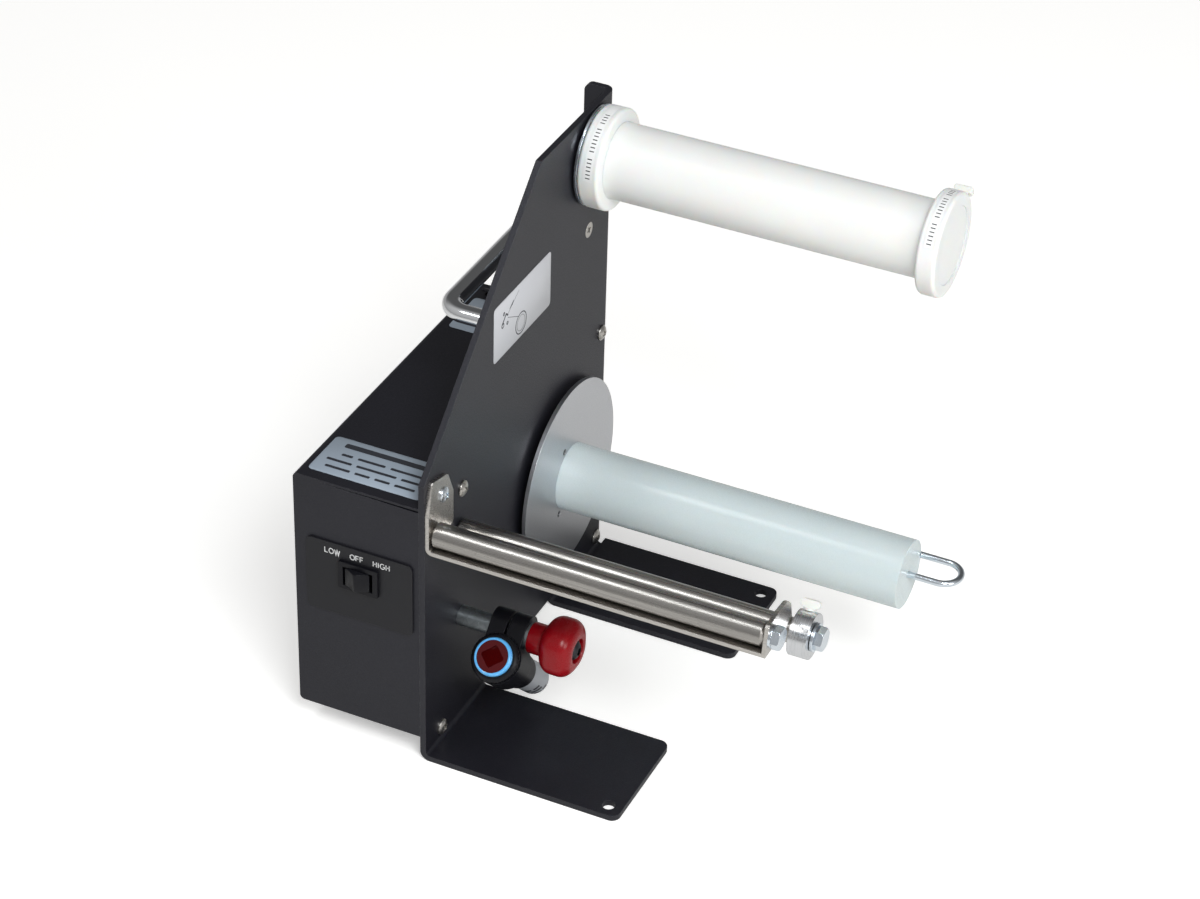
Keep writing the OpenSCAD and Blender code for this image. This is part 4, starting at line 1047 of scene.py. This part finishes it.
CIRCLE = np.linspace(0, 2 * math.pi, 33)
ROUND = np.column_stack([0.42 + 0.42 * np.cos(CIRCLE), 0.5 + 0.5 * np.sin(CIRCLE)])
STROKES: dict[str, tuple[float, list]] = {
    "L": (0.80, [[[0, 1], [0, 0], [0.55, 0]]]),
    "O": (1.08, [ROUND]),
    "W": (1.20, [[[0, 1], [0.22, 0], [0.46, 0.9], [0.70, 0], [0.92, 1]]]),
    "F": (0.80, [[[0, 0], [0, 1], [0.55, 1]], [[0, 0.52], [0.48, 0.52]]]),
    "H": (0.95, [[[0, 0], [0, 1]], [[0.6, 0], [0.6, 1]], [[0, 0.52], [0.6, 0.52]]]),
    "I": (0.36, [[[0, 0], [0, 1]]]),
    "G": (1.10, [ROUND[4:30], [[0.46, 0.45], [0.82, 0.45], [0.82, 0.15]]]),
}


@dataclass
class SwitchMarks:
    """Generic LOW, OFF and HIGH over the switch."""

    height: float = 2.8
    base: float = 107.8
    stroke: float = 0.52
    words: tuple[tuple[str, float], ...] = (("LOW", -145.4), ("OFF", -132.0), ("HIGH", -119.8))

    def build(self) -> None:
        """Lay the strokes on the panel."""
        directions = np.array([[1.0, 0, 0], [0, 0, 1.0], [0, -1.0, 0]])
        ground = Seat(np.array([0.0, span("switch_panel").low[1], 0.0]), *directions)
        marks = Skin()
        for word, x in self.words:
            for letter in word:
                advance, strokes = STROKES[letter]
                for stroke in strokes:
                    path = np.array(stroke) * self.height + [x, self.base]
                    marks.bar(path, self.stroke, PRINT, ground)
                x += advance * self.height
        fixed(marks.build("switch_marks", PRINT_WHITE), "frame", "panel_film")


@dataclass
class ClampKnob:
    """Red mushroom knob with soft lobes and a sunk seat for its screw."""

    neck: float = 7.7
    neck_length: float = 7.5
    round: float = 6.5
    seat_depth: float = 2.4
    seat_radius: float = 6.05
    bore: float = 3.1
    lobes: int = 4
    depth: float = 1.3
    lobe_power: float = 1.4
    blend: float = 0.8

    def build(self) -> None:
        """Turn the profile and press the lobes into the head only."""
        box = span("clamp_knob")
        length, radius = box.size[0], box.size[2] / 2
        q = np.linspace(-math.pi / 2, math.pi / 2, 24)
        curl = self.round * np.column_stack([np.sin(q), np.cos(q)])
        low = curl[1:12] + [self.neck_length + self.round, radius - self.round]
        high = curl[12:] + [length - self.round, radius - self.round]
        start = [[0, self.bore], [0, self.neck - 0.5], [0.15, self.neck - 0.15], [0.5, self.neck]]
        start += [[self.neck_length - 1.6, self.neck], [self.neck_length - 0.4, self.neck + 0.05]]
        rim, floor = self.seat_radius, length - self.seat_depth
        end = [[length, rim + 0.7], [length - 0.12, rim + 0.2], [length - 0.5, rim]]
        end += [[floor + 0.3, rim], [floor, rim - 0.3], [floor, self.bore]]
        profile = np.vstack([start, low, high, end])
        share = np.clip((profile[:, 1] - self.neck) / (radius - self.neck), 0, 1) ** self.blend
        seat = seat_on_x([box.low[0], *box.centre[1:]])
        grid = lobed(profile, 144, seat, self.lobes, self.depth, self.lobe_power, share)
        piece = Skin().sheet(grid, looped=True).build("knob_moulding", RED_PLASTIC, 40)
        fixed(piece, "knob", "red_plastic", "clamp_knob")


LEAN = math.sqrt(0.5)


@dataclass
class SensorHead:
    """Stepped ring, lens window, ribbed nut and tail marks on an axis that leans forward 45 degrees."""

    ring_radius: float = 9.4
    ring_length: float = 2.5
    lens_radius: float = 7.93
    window: float = 5.7
    window_corner: float = 1.3
    window_thickness: float = 0.55
    window_depth: float = 0.8
    nut_radius: float = 12.0
    nut_length: float = 4.0
    thread: float = 9.03
    ribs: int = 36
    rib_depth: float = 0.3
    rib_power: float = 3.0
    tail_radius: float = 7.9
    foot_radius: float = 6.4
    rows: tuple[Row, ...] = (
        (-14.0, 3.2, 1.2, 0.9, (5, 4, 3)),
        (-14.0, 6.6, 2.2, 1.2, (3, 5)),
        (-14.0, 10.4, 2.2, 1.2, (5, 3)),
    )

    def seat(self, back: float) -> Seat:
        """Seat on the sensor's axis, a distance behind its face."""
        box, drop = span("sensor_ring"), self.ring_radius * LEAN
        face = np.array([box.centre[0], box.low[1] + drop, box.high[2] - drop])
        axis = np.array([0, -LEAN, LEAN])
        return Seat(face - axis * back, np.array([1.0, 0, 0]), np.array([0, LEAN, LEAN]), axis)

    def ring(self) -> None:
        """Turn the blue ring with its step and its open middle."""
        r, inner = self.ring_radius, self.lens_radius
        profile = [[0, inner], [0, r - 0.1], [0.1, r], [1.15, r], [1.25, r - 0.22], [1.4, r - 0.22]]
        profile += [[1.5, r - 0.1], [2.2, r - 0.35], [2.42, r - 0.5], [2.5, r - 0.7]]
        profile += [[2.5, inner + 0.25], [2.4, inner]]
        grid = turned(np.array(profile), 96, self.seat(self.ring_length))
        piece = Skin().sheet(grid, looped=True).build("blue_light_ring", BLUE_RING, 40)
        fixed(piece, "sensor", "blue_plastic", "sensor_ring")

    def pane(self) -> None:
        """Set the dark window a little behind the ring's face."""
        w = self.window
        corners = np.array([[w, 0.6], [0.5, w], [-w, 0.6], [-w, -0.6], [-0.5, -w], [w, -0.6]])
        outline = soften(corners, self.window_corner, closed=True)
        grid = slab(outline, self.window_thickness, 0.08, self.seat(self.window_depth))
        fixed(Skin().solid(grid).build("lens_window", LENS_WINDOW), "sensor", "red_lens")

    def nut(self) -> None:
        """Turn the nut and press its ribs into the straight part."""
        n, t = self.nut_radius, self.nut_length
        profile = [[0, self.thread], [0, n - 0.6], [0.3, n - 0.15], [0.7, n], [t - 1.6, n]]
        profile += [[t - 1.3, n - 0.1], [t - 0.25, n - 1.15], [t, n - 1.5]]
        profile += [[t, self.thread + 0.2], [t - 0.2, self.thread]]
        rows = np.array(profile)
        share = np.where((rows[:, 0] > 0.2) & (rows[:, 0] < t - 1.4), 1.0, 0.0)
        seat = self.seat(self.ring_length + t)
        grid = lobed(rows, 288, seat, self.ribs, self.rib_depth, self.rib_power, share)
        piece = Skin().sheet(grid, looped=True).build("ribbed_nut", BLACK_PLASTIC)
        fixed(piece, "sensor", "black_plastic", "sensor_nut")

    def tail_marks(self) -> None:
        """Bend rows of plain bars round the tail."""
        tail, drop, seat = span("sensor_tail"), self.foot_radius * LEAN, self.seat(0.0)
        foot = np.array([seat.origin[0], tail.high[1] - drop, tail.low[2] + drop])
        ground = Drum(replace(seat, origin=foot), self.tail_radius)
        marks = Skin()
        for x, base, height, pitch, words in self.rows:
            for word in words:
                marks.bar(np.linspace([x, base], [x + word * pitch, base], 9), height, PRINT, ground)
                x += (word + 1) * pitch
        fixed(marks.build("sensor_tail_marks", PRINT_DARK), "sensor", "panel_film")

    def build(self) -> None:
        """Build the head from the front backwards."""
        self.ring()
        self.pane()
        self.nut()
        self.tail_marks()


@dataclass
class RockerKey:
    """Switch key with two hollow faces and a soft middle ridge, on its pivot pins."""

    ridge: float = 3.0
    power: float = 1.5
    heel: float = 3.4
    soft: float = 0.9
    corner: float = 0.5
    height: float = 10.0
    pin: float = 1.0
    pin_at: float = 2.6

    def build(self) -> None:
        """Extrude the key's outline upwards; its front follows ridge*(1 - u)^power."""
        box = span("switch_rocker")
        half, depth = box.size[0] / 2, box.size[1]
        x = np.linspace(-half, half, 41)
        u = (np.sqrt(x**2 + self.soft**2) - self.soft) / (math.hypot(half, self.soft) - self.soft)
        front = self.ridge * (1 - u) ** self.power + (depth - self.ridge)
        corners = np.vstack([[self.heel, 0.0], np.column_stack([x, front])[::-1], [-self.heel, 0.0]])
        outline = soften(corners, self.corner, 3, closed=True)
        rise = [0, 0, (box.size[2] - self.height) / 2]
        directions = np.array([[1.0, 0, 0], [0, -1.0, 0], [0, 0, 1.0]])
        low = Seat(np.array([box.centre[0], box.high[1], box.low[2]]), *directions)
        raised = replace(low, origin=low.origin + rise)
        skin = Skin().solid(slab(outline, self.height, self.corner, raised))
        skin.solid(slab(ring_outline(self.pin, (0.0, self.pin_at), 24)[:-1], box.size[2], 0.1, low))
        fixed(skin.build("rocker_key", BLACK_PLASTIC), "rocker", "black_plastic", "switch_rocker")


@dataclass
class Construction:
    """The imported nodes, each given its finish and otherwise left as packed."""

    finished: tuple[tuple[Finish, str], ...] = FINISHED

    def build(self) -> None:
        """Dress every node."""
        finishes = {name: finish for finish, names in self.finished for name in names.split()}
        for name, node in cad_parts.items():
            node.data.materials.clear()
            node.data.materials.append(finishes[name].material())
            LOG.info("finished node %s", name)


def main() -> None:
    """Build the studio and the pieces in order."""
    logging.basicConfig(level=logging.INFO, format="%(message)s")
    Studio().build()
    Construction().build()
    HousingLabels().build()
    PathLabel().build()
    RimTape("inner_flange", "inner_stop", -1.0, 112.0).build()
    RimTape("outer_flange", "outer_stop", 22.6, 128.0).build()
    SwitchMarks().build()
    RockerKey().build()
    SensorHead().build()
    ClampKnob().build()


if __name__ == "__main__":
    main()
